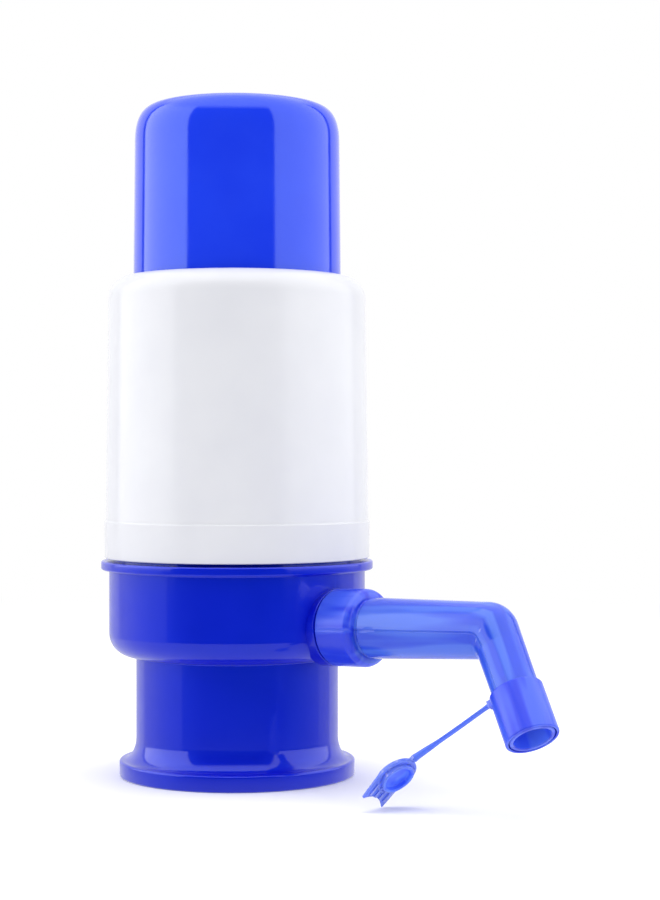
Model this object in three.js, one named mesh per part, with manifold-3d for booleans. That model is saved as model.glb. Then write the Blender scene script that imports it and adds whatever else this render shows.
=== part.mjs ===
// A hand pump that stands on the neck of a large water bottle, as its separate mouldings.
// Lengths are millimetres, +Z is up, and the foot stands on the plane Z = 0.
// The pump's axis is vertical, and the spout's arm points along +X.
import * as THREE from "three";
import { mergeVertices } from "three/addons/utils/BufferGeometryUtils.js";
import Module from "manifold-3d";

const wasm = await Module();
wasm.setup();

// Clearances shared by several pieces
const SEAT_GAP = 0.3; // between a piece and the seat that carries it
const RUN_GAP = 0.35; // round a piece that slides or turns
const CUT_OVERRUN = 1; // how far a cutter passes the face that it opens
const EDGE = 0.5; // small chamfer on a moulded edge

// Neck and foot, which go over the bottle
const BOTTLE_NECK_RADIUS = 27.5;
const BOTTLE_CLEARANCE = 0.5;
const NECK_WALL = 1.9;
const NECK_HEIGHT = 35.4; // foot plane to the drum's underside
const FOOT_RADIUS = 34.8;
const FOOT_RIM_HEIGHT = 4.8;
const FOOT_LEDGE = 1;
const FLARE_HEIGHT = 6.4;
const MOUTH_CHAMFER = 1.4; // lead-in for the bottle

// Cover, the white barrel, whose radius the drum and the knob follow
const COVER_GAP = 0.8; // the dark line between the flange and the cover
const COVER_HEIGHT = 83;
const COVER_WALL = 2;
const COVER_LOW_RADIUS = 38.9;
const COVER_TAPER = 0.8; // from the foot of the barrel to its shoulder
const COVER_TOP_RADIUS = COVER_LOW_RADIUS - COVER_TAPER;
const COVER_BAND_STEP = 0.4; // how far the band stands out of the barrel
const COVER_BAND_RADIUS = COVER_LOW_RADIUS + COVER_BAND_STEP;
const COVER_BAND_HEIGHT = 11.4;
const SHOULDER_ROUND = 6.4;

// Drum, the chamber above the neck
const DRUM_INSET = 1.05; // how far the drum stands in from the barrel
const DRUM_RADIUS = COVER_LOW_RADIUS - DRUM_INSET;
const DRUM_WALL = 3.2;
const DRUM_CORNER = 6.8;
const DRUM_HEIGHT = 25.4;
const DRUM_FLOOR = 2.4;
const DRUM_INSIDE_CHAMFER = 3.6;
const FLANGE_REACH = 2.35; // how far the flange stands out of the drum
const FLANGE_RADIUS = DRUM_RADIUS + FLANGE_REACH;
const FLANGE_THICKNESS = 2.6;
const SPIGOT_HEIGHT = 8;
const POST_DEPTH = 3.4; // how far a deck post stands in from the wall
const POST_WIDTH = 2.4;
const POST_COUNT = 6;
const DECK_DROP = 4; // flange top down to the deck's underside

// Water and air ways in the drum
const ARM_ABOVE_NECK = 8.6; // the drum's underside up to the outlet's axis
const ARM_HEIGHT = NECK_HEIGHT + ARM_ABOVE_NECK; // where that axis meets the pump's axis
const ARM_RISE_DEG = 2.3;
const RISER_RADIUS = 6.4;
const WATER_BORE = 4.2;
const TUBE_NIPPLE_RADIUS = 5.4;
const TUBE_NIPPLE_LENGTH = 13;
const VENT_RADIUS = 1.8;
const VENT_CIRCLE = 15;
const VENT_COUNT = 4;
const BOSS_RADIUS = 11.8;
const BOSS_REACH = 1.2; // how far the boss stands out of the drum
const NIPPLE_RADIUS = 9;
const NIPPLE_WALL = 2;
const NIPPLE_LENGTH = 9.4;
const SEAL_GROOVE_START = 4.6; // from the boss's face
const SEAL_GROOVE_WIDTH = 1.7;
const SEAL_GROOVE_DEPTH = 1.1;

// Soft seals and the dip tube's socket
const GASKET_INNER_RADIUS = 21.5;
const GASKET_THICKNESS = 3.2;
const SOCKET_WALL = 1.9;
const SOCKET_LENGTH = 19;
const SEAL_RADIUS = 1;

// Press knob
const KNOB_INSET = 7.4; // from the barrel's shoulder in to the knob
const KNOB_RADIUS = COVER_TOP_RADIUS - KNOB_INSET; // at the cover's opening
const KNOB_TAPER = 0.4;
const KNOB_TOP_RADIUS = KNOB_RADIUS - KNOB_TAPER;
const KNOB_SHOWN = 52.6; // height above the cover at rest
const KNOB_SHOULDER_WIDTH = 8.6;
const KNOB_SHOULDER_HEIGHT = 12;
const KNOB_CROWN = 1.9; // rise of the roof from the shoulder to the middle
const KNOB_WALL = 1.8;
const KNOB_ROOF = 2;
const KNOB_SKIRT = 20; // length hidden in the cover at rest
const KNOB_STOP_REACH = 2.1; // the flange that keeps the knob in
const KNOB_STOP_THICKNESS = 2.6;
const KNOB_RIB_WALL = 1.5;
const KNOB_RIB_HEIGHT = 5.4;

// Air pump inside
const DECK_THICKNESS = 2.5;
const BELLOWS_CLEARANCE = 2.9; // from the folds out to the knob's skirt
const BELLOWS_RADIUS = KNOB_RADIUS - KNOB_WALL - BELLOWS_CLEARANCE;
const BELLOWS_FOLD_DEPTH = 5;
const BELLOWS_FOLDS = 9;
const BELLOWS_WALL = 0.9;
const BELLOWS_COLLAR = 4; // plain length that grips the cap piece
const BELLOWS_FOOT_CLEARANCE = 1.65; // from the foot's edge out to the chamber's wall
const BELLOWS_FOOT_THICKNESS = 1.5;
const CLAMP_BORE_SHARE = 0.59; // of the way from the bellows' neck out to the clamp's rim
const CLAMP_THICKNESS = 2.8;
const CAP_PLATE_INSET = 5.7; // from the knob's outside in to the plate's rim
const CAP_PLATE_RADIUS = KNOB_RADIUS - CAP_PLATE_INSET;
const CAP_PLATE_THICKNESS = 2;
const CAP_RIM_WALL = 1.5;
const CAP_RING_HEIGHT = 5;
const CAP_SLOT_WIDTH = 5;
const CAP_SLOT_COUNT = 4;
const CAP_SLOT_RISE_SHARE = 0.33; // of the rim's height that stays below a slot
const SPRING_RADIUS_SHARE = 0.68; // of the cap ring's radius, to the middle of the wire
const WIRE_RADIUS = 0.8;
const SPRING_TURNS = 9;
const SPRING_BOSS_CLEARANCE = 1.2; // inside the spring's wire
const SPRING_BOSS_WALL = 1.4;
const SPRING_BOSS_HEIGHT = 3;

// Both check valves, soft mushrooms
const FLAP_RADIUS = 8;
const FLAP_THICKNESS = 1;
const STEM_RADIUS = 1.5;
const BULB_RADIUS = 2.4;
const BULB_HEIGHT = 1.4;
const VALVE_LIFT = 0.8;
const VALVE_PORT_RADIUS = 1.3;
const VALVE_PORT_CIRCLE = 5;
const VALVE_PORT_COUNT = 4;

// Spout
const SPOUT_WALL = 1.1;
const COLLAR_RADIUS = 11;
const COLLAR_LENGTH = 12;
const COLLAR_ROUND = 2.2;
const ARM_RADIUS = 8.6; // where it leaves the collar
const ARM_END_RADIUS = 7.75;
const ELBOW_REACH = 93.3; // pump's axis to where arm and leg axes cross
const ELBOW_DEG = 58.5;
const ELBOW_INNER_ROUND = 0.8;
const ELBOW_OUTER_ROUND = 9;
const LEG_RADIUS = 6.5;
const LEG_END_RADIUS = 6.2;
const LEG_LENGTH = 33.3;
const SPOUT_TURN_DEG = 18.8; // how far the leg is swung towards -Y at rest

// Tether ring, strap and dust cap
const RING_TURN_DEG = 7;
const RING_WALL = 0.8;
const RING_LENGTH = 14.5;
const LUG_REACH = 1.1;
const LUG_LENGTH = 1.8;
const LUG_RISE = 0.8; // how far the lug stands above the ring's rim
const LUG_WIDTH = 2.4;
const STRAP_THICKNESS = 0.9;
const STRAP_WIDTH = 1.7;
const STRAP_LENGTH = 24.6;
const LINK_CHAMFER = 0.25; // on the ends of a link, so that it can bend
const STRAP_LINKS = 3;
const STRAP_DROOP_DEG = 9; // below square to the leg, at the lug
const STRAP_CURL_DEG = -1.2; // change of slope from one length to the next
const CAP_DROOP_DEG = 8; // further droop of the cap
const CAP_RADIUS = 6.1;
const CAP_THICKNESS = 0.9;
const PLUG_CLEARANCE = 0.25;
const PLUG_WALL = 1;
const PLUG_HEIGHT = 2.4;
const CAP_NECK_LENGTH = 1;
const CAP_NECK_WIDTH = 2.2;
const TAB_LENGTH = 3.2;
const TAB_ROOT_WIDTH = 11;
const TAB_END_WIDTH = 9.8;
const TAB_HOLLOW_DEPTH = 1.7;

// Counts of facets
const ROUND_STEPS = 40;
const SMALL_STEPS = 20;
const TINY_STEPS = 10;
const SPOUT_STEPS = 24;
const BELLOWS_STEPS = 24;
const CORNER_STEPS = 5;
const SHOULDER_STEPS = 6;
const BEND_STEPS = 8;
const SEAL_SIDES = 6;
const WIRE_SIDES = 5;
const STEPS_PER_TURN = 10;

// Levels worked out from the sizes above
const NECK_BORE = BOTTLE_NECK_RADIUS + BOTTLE_CLEARANCE;
const NECK_RADIUS = NECK_BORE + NECK_WALL;
const CHAMBER_RADIUS = DRUM_RADIUS - DRUM_WALL;
const CHAMBER_FLOOR_Z = NECK_HEIGHT + DRUM_FLOOR;
const FLANGE_Z = NECK_HEIGHT + DRUM_HEIGHT;
const FLANGE_TOP_Z = FLANGE_Z + FLANGE_THICKNESS;
const SPIGOT_TOP_Z = FLANGE_TOP_Z + SPIGOT_HEIGHT;
const COVER_Z = FLANGE_TOP_Z + COVER_GAP;
const COVER_TOP_Z = COVER_Z + COVER_HEIGHT;
const COVER_BORE = COVER_LOW_RADIUS - COVER_WALL;
const SPIGOT_RADIUS = COVER_BORE - SEAT_GAP;
const COVER_HOLE = KNOB_RADIUS + RUN_GAP;
const DECK_Z = FLANGE_TOP_Z - DECK_DROP;
const DECK_TOP_Z = DECK_Z + DECK_THICKNESS;
const DECK_RADIUS = CHAMBER_RADIUS - SEAT_GAP;
const BELLOWS_Z = DECK_TOP_Z + SEAT_GAP;
const CLAMP_Z = BELLOWS_Z + BELLOWS_FOOT_THICKNESS + SEAT_GAP;
const KNOB_TOP_Z = COVER_TOP_Z + KNOB_SHOWN;
const KNOB_ROOF_Z = KNOB_TOP_Z - KNOB_CROWN - KNOB_ROOF;
const KNOB_BOTTOM_Z = COVER_TOP_Z - KNOB_SKIRT;
const KNOB_STOP_TOP_Z = COVER_TOP_Z - COVER_WALL - SEAT_GAP;
const CAP_RIM_HEIGHT = VALVE_LIFT + SEAT_GAP + BULB_HEIGHT + SEAT_GAP;
const CAP_PLATE_Z = KNOB_ROOF_Z - SEAT_GAP - CAP_RIM_HEIGHT - CAP_PLATE_THICKNESS;
const BELLOWS_NECK = BELLOWS_RADIUS - BELLOWS_FOLD_DEPTH;
const CAP_RING_RADIUS = BELLOWS_NECK - BELLOWS_WALL - SEAT_GAP;
const SPRING_RADIUS = SPRING_RADIUS_SHARE * CAP_RING_RADIUS;
const COLLAR_BORE = NIPPLE_RADIUS + RUN_GAP;
const BOSS_END = DRUM_RADIUS + BOSS_REACH;
const NIPPLE_END = BOSS_END + NIPPLE_LENGTH;
const COLLAR_START = BOSS_END + SEAT_GAP;
const COLLAR_END = COLLAR_START + COLLAR_LENGTH;
const RING_BORE = LEG_END_RADIUS + SEAT_GAP;
const RING_RADIUS = RING_BORE + RING_WALL;
const RING_TOP = LEG_LENGTH - RING_LENGTH; // along the leg from the bend
const LINK_PITCH = STRAP_LENGTH / STRAP_LINKS;
const PLUG_RADIUS = LEG_END_RADIUS - SPOUT_WALL - PLUG_CLEARANCE;

// Turns a closed geometry into a solid for cutting and joining.
function solidOf(geometry) {
  const plain = new THREE.BufferGeometry();
  plain.setAttribute("position", geometry.getAttribute("position").clone());
  if (geometry.index) plain.setIndex(geometry.index.clone());
  const merged = mergeVertices(plain);
  const mesh = new wasm.Mesh({
    numProp: 3,
    vertProperties: merged.getAttribute("position").array,
    triVerts: new Uint32Array(merged.index.array),
  });
  return new wasm.Manifold(mesh);
}

// Turns a solid back into a geometry with flat faces.
function geometryOf(solid) {
  const mesh = solid.getMesh();
  const geometry = new THREE.BufferGeometry();
  const positions = new THREE.BufferAttribute(mesh.vertProperties, mesh.numProp);
  geometry.setAttribute("position", positions);
  geometry.setIndex(new THREE.BufferAttribute(mesh.triVerts, 1));
  const flat = geometry.toNonIndexed();
  flat.computeVertexNormals();
  return flat;
}

// Points of an arc in an outline of [radius, height] pairs, angles in degrees from +radius.
function arc(radius, height, size, from, to, steps, tall = size) {
  return Array.from({ length: steps + 1 }, (_, i) => {
    const angle = THREE.MathUtils.degToRad(from + ((to - from) * i) / steps);
    return [radius + size * Math.cos(angle), height + tall * Math.sin(angle)];
  });
}

// Points of a shoulder that is squarer than an ellipse, from its side to its top.
function shoulder(radius, height, wide, tall, steps) {
  const bluntness = 1.4; // 1 would be an ellipse
  return Array.from({ length: steps + 1 }, (_, i) => {
    const angle = (i * Math.PI) / (2 * steps);
    const along = i === steps ? 0 : Math.cos(angle) ** (1 / bluntness);
    return [radius + wide * along, height + tall * Math.sin(angle) ** (1 / bluntness)];
  });
}

// Points round a seal's section, a regular polygon.
function sealSection(radius, height, size) {
  const lastAngle = 360 - 360 / SEAL_SIDES;
  return arc(radius, height, size, 0, lastAngle, SEAL_SIDES - 1);
}

// Revolves an outline of [radius, height] pairs about Z, whichever way round it is listed.
function revolve(outline, steps = ROUND_STEPS) {
  const touchesAxis = outline.some(([radius]) => radius === 0);
  const points = outline.map(([radius, height]) => new THREE.Vector2(radius, height));
  if (THREE.ShapeUtils.area(points) < 0) points.reverse();
  if (touchesAxis) {
    const start = points.findIndex((p, i) => {
      const before = points[(i + points.length - 1) % points.length];
      return p.x === 0 && before.x === 0;
    });
    points.push(...points.splice(0, start));
  } else {
    points.push(points[0].clone());
  }
  return new THREE.LatheGeometry(points, steps).rotateX(Math.PI / 2);
}

// A cylinder or cone along Z between two heights.
function post(radius, from, to, steps = SMALL_STEPS, endRadius = radius) {
  const geometry = new THREE.CylinderGeometry(endRadius, radius, to - from, steps);
  return geometry.rotateX(Math.PI / 2).translate(0, 0, (from + to) / 2);
}

// The same along X, from the pump's axis outwards.
function rod(radius, from, to, steps = SMALL_STEPS, endRadius = radius) {
  const geometry = new THREE.CylinderGeometry(endRadius, radius, to - from, steps);
  return geometry.rotateZ(-Math.PI / 2).translate((from + to) / 2, 0, 0);
}

// Copies of a geometry turned evenly about Z, as solids.
function ringOf(geometry, count, firstTurn = 0) {
  return Array.from({ length: count }, (_, i) =>
    solidOf(geometry.clone().rotateZ(firstTurn + (i * 2 * Math.PI) / count)),
  );
}

// Joins a stack of sections, each a list of points, into one closed tube or loft.
function loft(sections) {
  const count = sections[0].length;
  const points = sections.flat();
  const faces = [];
  for (let i = 0; i + 1 < sections.length; i++) {
    for (let j = 0; j < count; j++) {
      const a = i * count + j;
      const b = i * count + ((j + 1) % count);
      faces.push(a, b, b + count, a, b + count, a + count);
    }
  }
  const last = (sections.length - 1) * count;
  for (let j = 1; j + 1 < count; j++) {
    faces.push(0, j + 1, j);
    faces.push(last, last + j, last + j + 1);
  }
  const geometry = new THREE.BufferGeometry().setFromPoints(points);
  geometry.setIndex(faces);
  return geometry;
}

const MATERIALS = {
  blue_gloss: { color: 0x1226c4, roughness: 0.22, metalness: 0 },
  knob_blue: { color: 0x2a4aea, roughness: 0.12, metalness: 0 },
  white_shell: { color: 0xf0f1f4, roughness: 0.45, metalness: 0 },
  clear_blue: { color: 0x4f70f2, roughness: 0.3, metalness: 0 },
  inner_white: { color: 0xe6e7e4, roughness: 0.5, metalness: 0 },
  bellows_natural: { color: 0xdfe2dc, roughness: 0.4, metalness: 0 },
  silicone: { color: 0xd8dcdf, roughness: 0.55, metalness: 0 },
  spring_steel: { color: 0xb4b7bb, roughness: 0.3, metalness: 1 },
};

const finishes = new Map(
  Object.entries(MATERIALS).map(([slot, look]) => {
    const material = new THREE.MeshStandardMaterial(look);
    material.name = slot;
    return [slot, material];
  }),
);

// A named mesh from a geometry or a solid.
function piece(name, slot, shape) {
  const geometry = shape.isBufferGeometry ? shape : geometryOf(shape);
  const mesh = new THREE.Mesh(geometry, finishes.get(slot));
  mesh.name = name;
  return mesh;
}

// The frame of the outlet: its origin is on the pump's axis and its X runs along the arm.
function outletFrame() {
  const frame = new THREE.Group();
  frame.position.z = ARM_HEIGHT;
  frame.rotation.y = -THREE.MathUtils.degToRad(ARM_RISE_DEG);
  frame.updateMatrix();
  return frame;
}

// Blue base: foot, neck, drum, flange and spigot in one moulding, with the water way in it.
function baseCollar() {
  const flareReach = FOOT_RADIUS - FOOT_LEDGE - NECK_RADIUS;
  const flareTop = FOOT_RIM_HEIGHT + FLARE_HEIGHT;
  const corner = Math.min(DRUM_CORNER, DRUM_RADIUS - NECK_RADIUS - EDGE);
  const cornerZ = NECK_HEIGHT + corner;
  const cornerR = DRUM_RADIUS - corner;
  const outline = [
    [0, NECK_HEIGHT],
    [NECK_BORE, NECK_HEIGHT],
    [NECK_BORE, MOUTH_CHAMFER],
    [NECK_BORE + MOUTH_CHAMFER, 0],
    [FOOT_RADIUS - EDGE, 0],
    [FOOT_RADIUS, EDGE],
    [FOOT_RADIUS, FOOT_RIM_HEIGHT - EDGE],
    [FOOT_RADIUS - EDGE, FOOT_RIM_HEIGHT],
    ...arc(NECK_RADIUS + flareReach, flareTop, flareReach, 270, 180, CORNER_STEPS, FLARE_HEIGHT),
    [NECK_RADIUS, NECK_HEIGHT],
    ...arc(cornerR, cornerZ, corner, 270, 360, CORNER_STEPS),
    [DRUM_RADIUS, FLANGE_Z],
    [FLANGE_RADIUS - EDGE, FLANGE_Z],
    [FLANGE_RADIUS, FLANGE_Z + EDGE],
    [FLANGE_RADIUS, FLANGE_TOP_Z - EDGE],
    [FLANGE_RADIUS - EDGE, FLANGE_TOP_Z],
    [SPIGOT_RADIUS, FLANGE_TOP_Z],
    [SPIGOT_RADIUS, SPIGOT_TOP_Z - EDGE],
    [SPIGOT_RADIUS - EDGE, SPIGOT_TOP_Z],
    [CHAMBER_RADIUS, SPIGOT_TOP_Z],
    [CHAMBER_RADIUS, CHAMBER_FLOOR_Z + DRUM_INSIDE_CHAMFER],
    [CHAMBER_RADIUS - DRUM_INSIDE_CHAMFER, CHAMBER_FLOOR_Z],
    [0, CHAMBER_FLOOR_Z],
  ];
  const outlet = outletFrame().matrix;
  const along = (geometry) => solidOf(geometry.applyMatrix4(outlet));
  const postTop = DECK_Z - SEAT_GAP;
  const postHeight = postTop - CHAMBER_FLOOR_Z - DRUM_INSIDE_CHAMFER;
  const deckPost = new THREE.BoxGeometry(POST_DEPTH + DRUM_WALL / 2, POST_WIDTH, postHeight);
  const postR = CHAMBER_RADIUS + DRUM_WALL / 2 - (POST_DEPTH + DRUM_WALL / 2) / 2;
  deckPost.translate(postR, 0, postTop - postHeight / 2);
  const nippleBase = NECK_HEIGHT - TUBE_NIPPLE_LENGTH;
  const vent = post(VENT_RADIUS, NECK_HEIGHT - CUT_OVERRUN, CHAMBER_FLOOR_Z + CUT_OVERRUN, TINY_STEPS);
  vent.translate(VENT_CIRCLE, 0, 0);
  const grooveLow = BOSS_END + SEAL_GROOVE_START;
  const grooveBottom = NIPPLE_RADIUS - SEAL_GROOVE_DEPTH;
  const sealGroove = revolve([
    [grooveBottom, grooveLow],
    [NIPPLE_RADIUS + CUT_OVERRUN, grooveLow],
    [NIPPLE_RADIUS + CUT_OVERRUN, grooveLow + SEAL_GROOVE_WIDTH],
    [grooveBottom, grooveLow + SEAL_GROOVE_WIDTH],
  ], SMALL_STEPS).rotateY(Math.PI / 2);
  const joined = wasm.Manifold.union([
    solidOf(revolve(outline)),
    ...ringOf(deckPost, POST_COUNT, Math.PI / POST_COUNT),
    solidOf(post(RISER_RADIUS, NECK_HEIGHT + DRUM_FLOOR / 2, ARM_HEIGHT + RISER_RADIUS)),
    solidOf(post(TUBE_NIPPLE_RADIUS, nippleBase, NECK_HEIGHT + DRUM_FLOOR / 2)),
    along(rod(RISER_RADIUS, 0, DRUM_RADIUS)),
    along(rod(BOSS_RADIUS, CHAMBER_RADIUS, BOSS_END, ROUND_STEPS)),
    along(rod(NIPPLE_RADIUS, CHAMBER_RADIUS, NIPPLE_END, SMALL_STEPS, NIPPLE_RADIUS - EDGE / 2)),
  ]);
  return joined
    .subtract(solidOf(post(WATER_BORE, nippleBase - CUT_OVERRUN, ARM_HEIGHT)))
    .subtract(along(rod(WATER_BORE, 0, NIPPLE_END)))
    .subtract(along(rod(NIPPLE_RADIUS - NIPPLE_WALL, BOSS_END, NIPPLE_END + CUT_OVERRUN)))
    .subtract(along(sealGroove))
    .subtract(wasm.Manifold.union(ringOf(vent, VENT_COUNT, Math.PI / VENT_COUNT)));
}

// Soft ring that the bottle's rim presses on.
function neckGasket() {
  const outer = NECK_BORE - SEAT_GAP;
  const top = NECK_HEIGHT - SEAT_GAP;
  const low = top - GASKET_THICKNESS;
  return revolve([
    [GASKET_INNER_RADIUS, low + EDGE],
    [GASKET_INNER_RADIUS + EDGE, low],
    [outer - EDGE, low],
    [outer, low + EDGE],
    [outer, top],
    [GASKET_INNER_RADIUS, top],
  ]);
}

// Soft sleeve on the nipple under the drum, which takes the dip tube's end.
function dipTubeSocket() {
  const bore = TUBE_NIPPLE_RADIUS + SEAT_GAP;
  const outer = bore + SOCKET_WALL;
  const top = NECK_HEIGHT - SEAT_GAP;
  const low = top - SOCKET_LENGTH;
  const outline = [
    [bore, top],
    [bore, low + EDGE],
    [bore + EDGE, low],
    [outer - EDGE, low],
    [outer, low + EDGE],
    [outer, top],
  ];
  return revolve(outline, SMALL_STEPS);
}

// Ports round a valve's stem hole, ready to cut from a plate.
function valvePorts(low, high) {
  const port = post(VALVE_PORT_RADIUS, low - CUT_OVERRUN, high + CUT_OVERRUN, TINY_STEPS);
  port.translate(VALVE_PORT_CIRCLE, 0, 0);
  const stem = post(STEM_RADIUS + SEAT_GAP, low - CUT_OVERRUN, high + CUT_OVERRUN, TINY_STEPS);
  return wasm.Manifold.union([solidOf(stem), ...ringOf(port, VALVE_PORT_COUNT)]);
}

// Plate that closes the drum and carries the outlet valve, with a groove for its seal.
function valveDeck() {
  const grooveZ = (DECK_Z + DECK_TOP_Z) / 2;
  const grooveHalf = SEAL_RADIUS;
  const grooveR = DECK_RADIUS - SEAL_RADIUS * 2 + SEAT_GAP;
  const bossR = SPRING_RADIUS - WIRE_RADIUS - SPRING_BOSS_CLEARANCE;
  const plate = revolve([
    [0, DECK_Z],
    [DECK_RADIUS, DECK_Z],
    [DECK_RADIUS, grooveZ - grooveHalf],
    [grooveR, grooveZ - grooveHalf],
    [grooveR, grooveZ + grooveHalf],
    [DECK_RADIUS, grooveZ + grooveHalf],
    [DECK_RADIUS, DECK_TOP_Z],
    [bossR, DECK_TOP_Z],
    [bossR, DECK_TOP_Z + SPRING_BOSS_HEIGHT],
    [bossR - SPRING_BOSS_WALL, DECK_TOP_Z + SPRING_BOSS_HEIGHT],
    [bossR - SPRING_BOSS_WALL, DECK_TOP_Z],
    [0, DECK_TOP_Z],
  ]);
  return solidOf(plate).subtract(valvePorts(DECK_Z, DECK_TOP_Z));
}

// Round seal in the deck's groove.
function deckSeal() {
  const middle = DECK_RADIUS - SEAL_RADIUS + SEAT_GAP / 2;
  const height = (DECK_Z + DECK_TOP_Z) / 2;
  const thin = SEAL_RADIUS - SEAT_GAP / 2;
  return revolve(sealSection(middle, height, thin));
}

// Mushroom valve that hangs under a plate: flap below, stem through it, bulb above.
function checkValve(plateLow, plateHigh) {
  const flapTop = plateLow - SEAT_GAP;
  const flapLow = flapTop - FLAP_THICKNESS;
  const bulbLow = plateHigh + SEAT_GAP + VALVE_LIFT;
  const bulbTop = bulbLow + BULB_HEIGHT;
  const outline = [
    [0, flapLow],
    [FLAP_RADIUS / 2, flapLow],
    [FLAP_RADIUS, flapTop - FLAP_THICKNESS / 2],
    [FLAP_RADIUS, flapTop],
    [STEM_RADIUS, flapTop],
    [STEM_RADIUS, bulbLow],
    [BULB_RADIUS, bulbLow],
    [BULB_RADIUS, bulbLow + BULB_HEIGHT / 3],
    [STEM_RADIUS / 2, bulbTop],
    [0, bulbTop],
  ];
  return revolve(outline, SMALL_STEPS);
}

// Blow-moulded bellows: a flat foot, equal folds and a plain collar at the top.
function bellows() {
  const footTop = BELLOWS_Z + BELLOWS_FOOT_THICKNESS;
  const footRadius = CHAMBER_RADIUS - BELLOWS_FOOT_CLEARANCE;
  const top = CAP_PLATE_Z - SEAT_GAP;
  const foldsTop = top - BELLOWS_COLLAR;
  const pitch = (foldsTop - footTop) / BELLOWS_FOLDS;
  const outside = [];
  for (let i = 0; i < BELLOWS_FOLDS; i++) {
    const low = footTop + i * pitch;
    outside.push([BELLOWS_NECK, low]);
    outside.push([BELLOWS_RADIUS, low + pitch / 2]);
  }
  outside.push([BELLOWS_NECK, foldsTop]);
  const inside = outside.map(([radius, height]) => [radius - BELLOWS_WALL, height]);
  inside.reverse();
  const outline = [
    [BELLOWS_NECK - BELLOWS_WALL, BELLOWS_Z],
    [footRadius, BELLOWS_Z],
    [footRadius, footTop],
    ...outside,
    [BELLOWS_NECK, top],
    [BELLOWS_NECK - BELLOWS_WALL, top],
    ...inside,
  ];
  return revolve(outline, BELLOWS_STEPS);
}

// Ring that clamps the bellows' foot to the deck, inside the spigot.
function clampRing() {
  const outer = CHAMBER_RADIUS - SEAT_GAP;
  const inner = BELLOWS_NECK + CLAMP_BORE_SHARE * (outer - BELLOWS_NECK);
  const top = CLAMP_Z + CLAMP_THICKNESS;
  return revolve([
    [inner, CLAMP_Z],
    [outer, CLAMP_Z],
    [outer, top - EDGE],
    [outer - EDGE, top],
    [inner + EDGE, top],
    [inner, top - EDGE],
  ]);
}

// Plate under the knob's roof that closes the bellows and carries the inlet valve.
function bellowsCap() {
  const rimTop = KNOB_ROOF_Z - SEAT_GAP;
  const plateTop = CAP_PLATE_Z + CAP_PLATE_THICKNESS;
  const ringLow = CAP_PLATE_Z - CAP_RING_HEIGHT;
  const ringInner = CAP_RING_RADIUS - CAP_RIM_WALL;
  const plate = revolve(
    [
      [0, CAP_PLATE_Z],
      [ringInner, CAP_PLATE_Z],
      [ringInner, ringLow],
      [CAP_RING_RADIUS - EDGE, ringLow],
      [CAP_RING_RADIUS, ringLow + EDGE],
      [CAP_RING_RADIUS, CAP_PLATE_Z],
      [CAP_PLATE_RADIUS, CAP_PLATE_Z],
      [CAP_PLATE_RADIUS, rimTop],
      [CAP_PLATE_RADIUS - CAP_RIM_WALL, rimTop],
      [CAP_PLATE_RADIUS - CAP_RIM_WALL, plateTop],
      [0, plateTop],
    ],
    ROUND_STEPS,
  );
  const slotLength = 2 * (CAP_RIM_WALL + CUT_OVERRUN);
  const slotZ = plateTop + CAP_SLOT_RISE_SHARE * CAP_RIM_HEIGHT + CAP_RIM_HEIGHT / 2;
  const slot = new THREE.BoxGeometry(slotLength, CAP_SLOT_WIDTH, CAP_RIM_HEIGHT);
  slot.translate(CAP_PLATE_RADIUS, 0, slotZ);
  return solidOf(plate)
    .subtract(valvePorts(CAP_PLATE_Z, plateTop))
    .subtract(wasm.Manifold.union(ringOf(slot, CAP_SLOT_COUNT)));
}

// Points along the middle of the return spring's wire.
function springPoints() {
  const steps = SPRING_TURNS * STEPS_PER_TURN;
  const low = DECK_TOP_Z + SEAT_GAP + WIRE_RADIUS;
  const high = CAP_PLATE_Z - SEAT_GAP - WIRE_RADIUS;
  return Array.from({ length: steps + 1 }, (_, i) => {
    const share = i / steps;
    const angle = share * SPRING_TURNS * 2 * Math.PI;
    const x = SPRING_RADIUS * Math.cos(angle);
    const y = SPRING_RADIUS * Math.sin(angle);
    return new THREE.Vector3(x, y, low + (high - low) * share);
  });
}

// Steel wire wound into the return spring, as one unbroken tube.
function returnSpring(points) {
  const sections = points.map((point) => {
    const out = new THREE.Vector3(point.x, point.y, 0).normalize();
    return Array.from({ length: WIRE_SIDES }, (_, i) => {
      const angle = (-i * 2 * Math.PI) / WIRE_SIDES;
      const offset = out.clone().multiplyScalar(WIRE_RADIUS * Math.cos(angle));
      offset.z = WIRE_RADIUS * Math.sin(angle);
      return point.clone().add(offset);
    });
  });
  return facingOut(loft(sections));
}

// The least gap between turns of a wound tube, measured on its points.
function leastGap(points, skip, radius) {
  let least = Infinity;
  points.forEach((a, i) => {
    points.slice(i + skip).forEach((b) => {
      least = Math.min(least, a.distanceTo(b));
    });
  });
  return least - 2 * radius;
}

// Turns the faces round if a loft was listed the other way.
function facingOut(geometry) {
  const position = geometry.getAttribute("position");
  const index = geometry.index.array;
  const [a, b, c] = [new THREE.Vector3(), new THREE.Vector3(), new THREE.Vector3()];
  let volume = 0;
  for (let i = 0; i < index.length; i += 3) {
    a.fromBufferAttribute(position, index[i]);
    b.fromBufferAttribute(position, index[i + 1]);
    c.fromBufferAttribute(position, index[i + 2]);
    volume += a.dot(b.cross(c));
  }
  if (volume < 0) {
    for (let i = 0; i < index.length; i += 3) {
      [index[i + 1], index[i + 2]] = [index[i + 2], index[i + 1]];
    }
  }
  return geometry;
}

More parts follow.
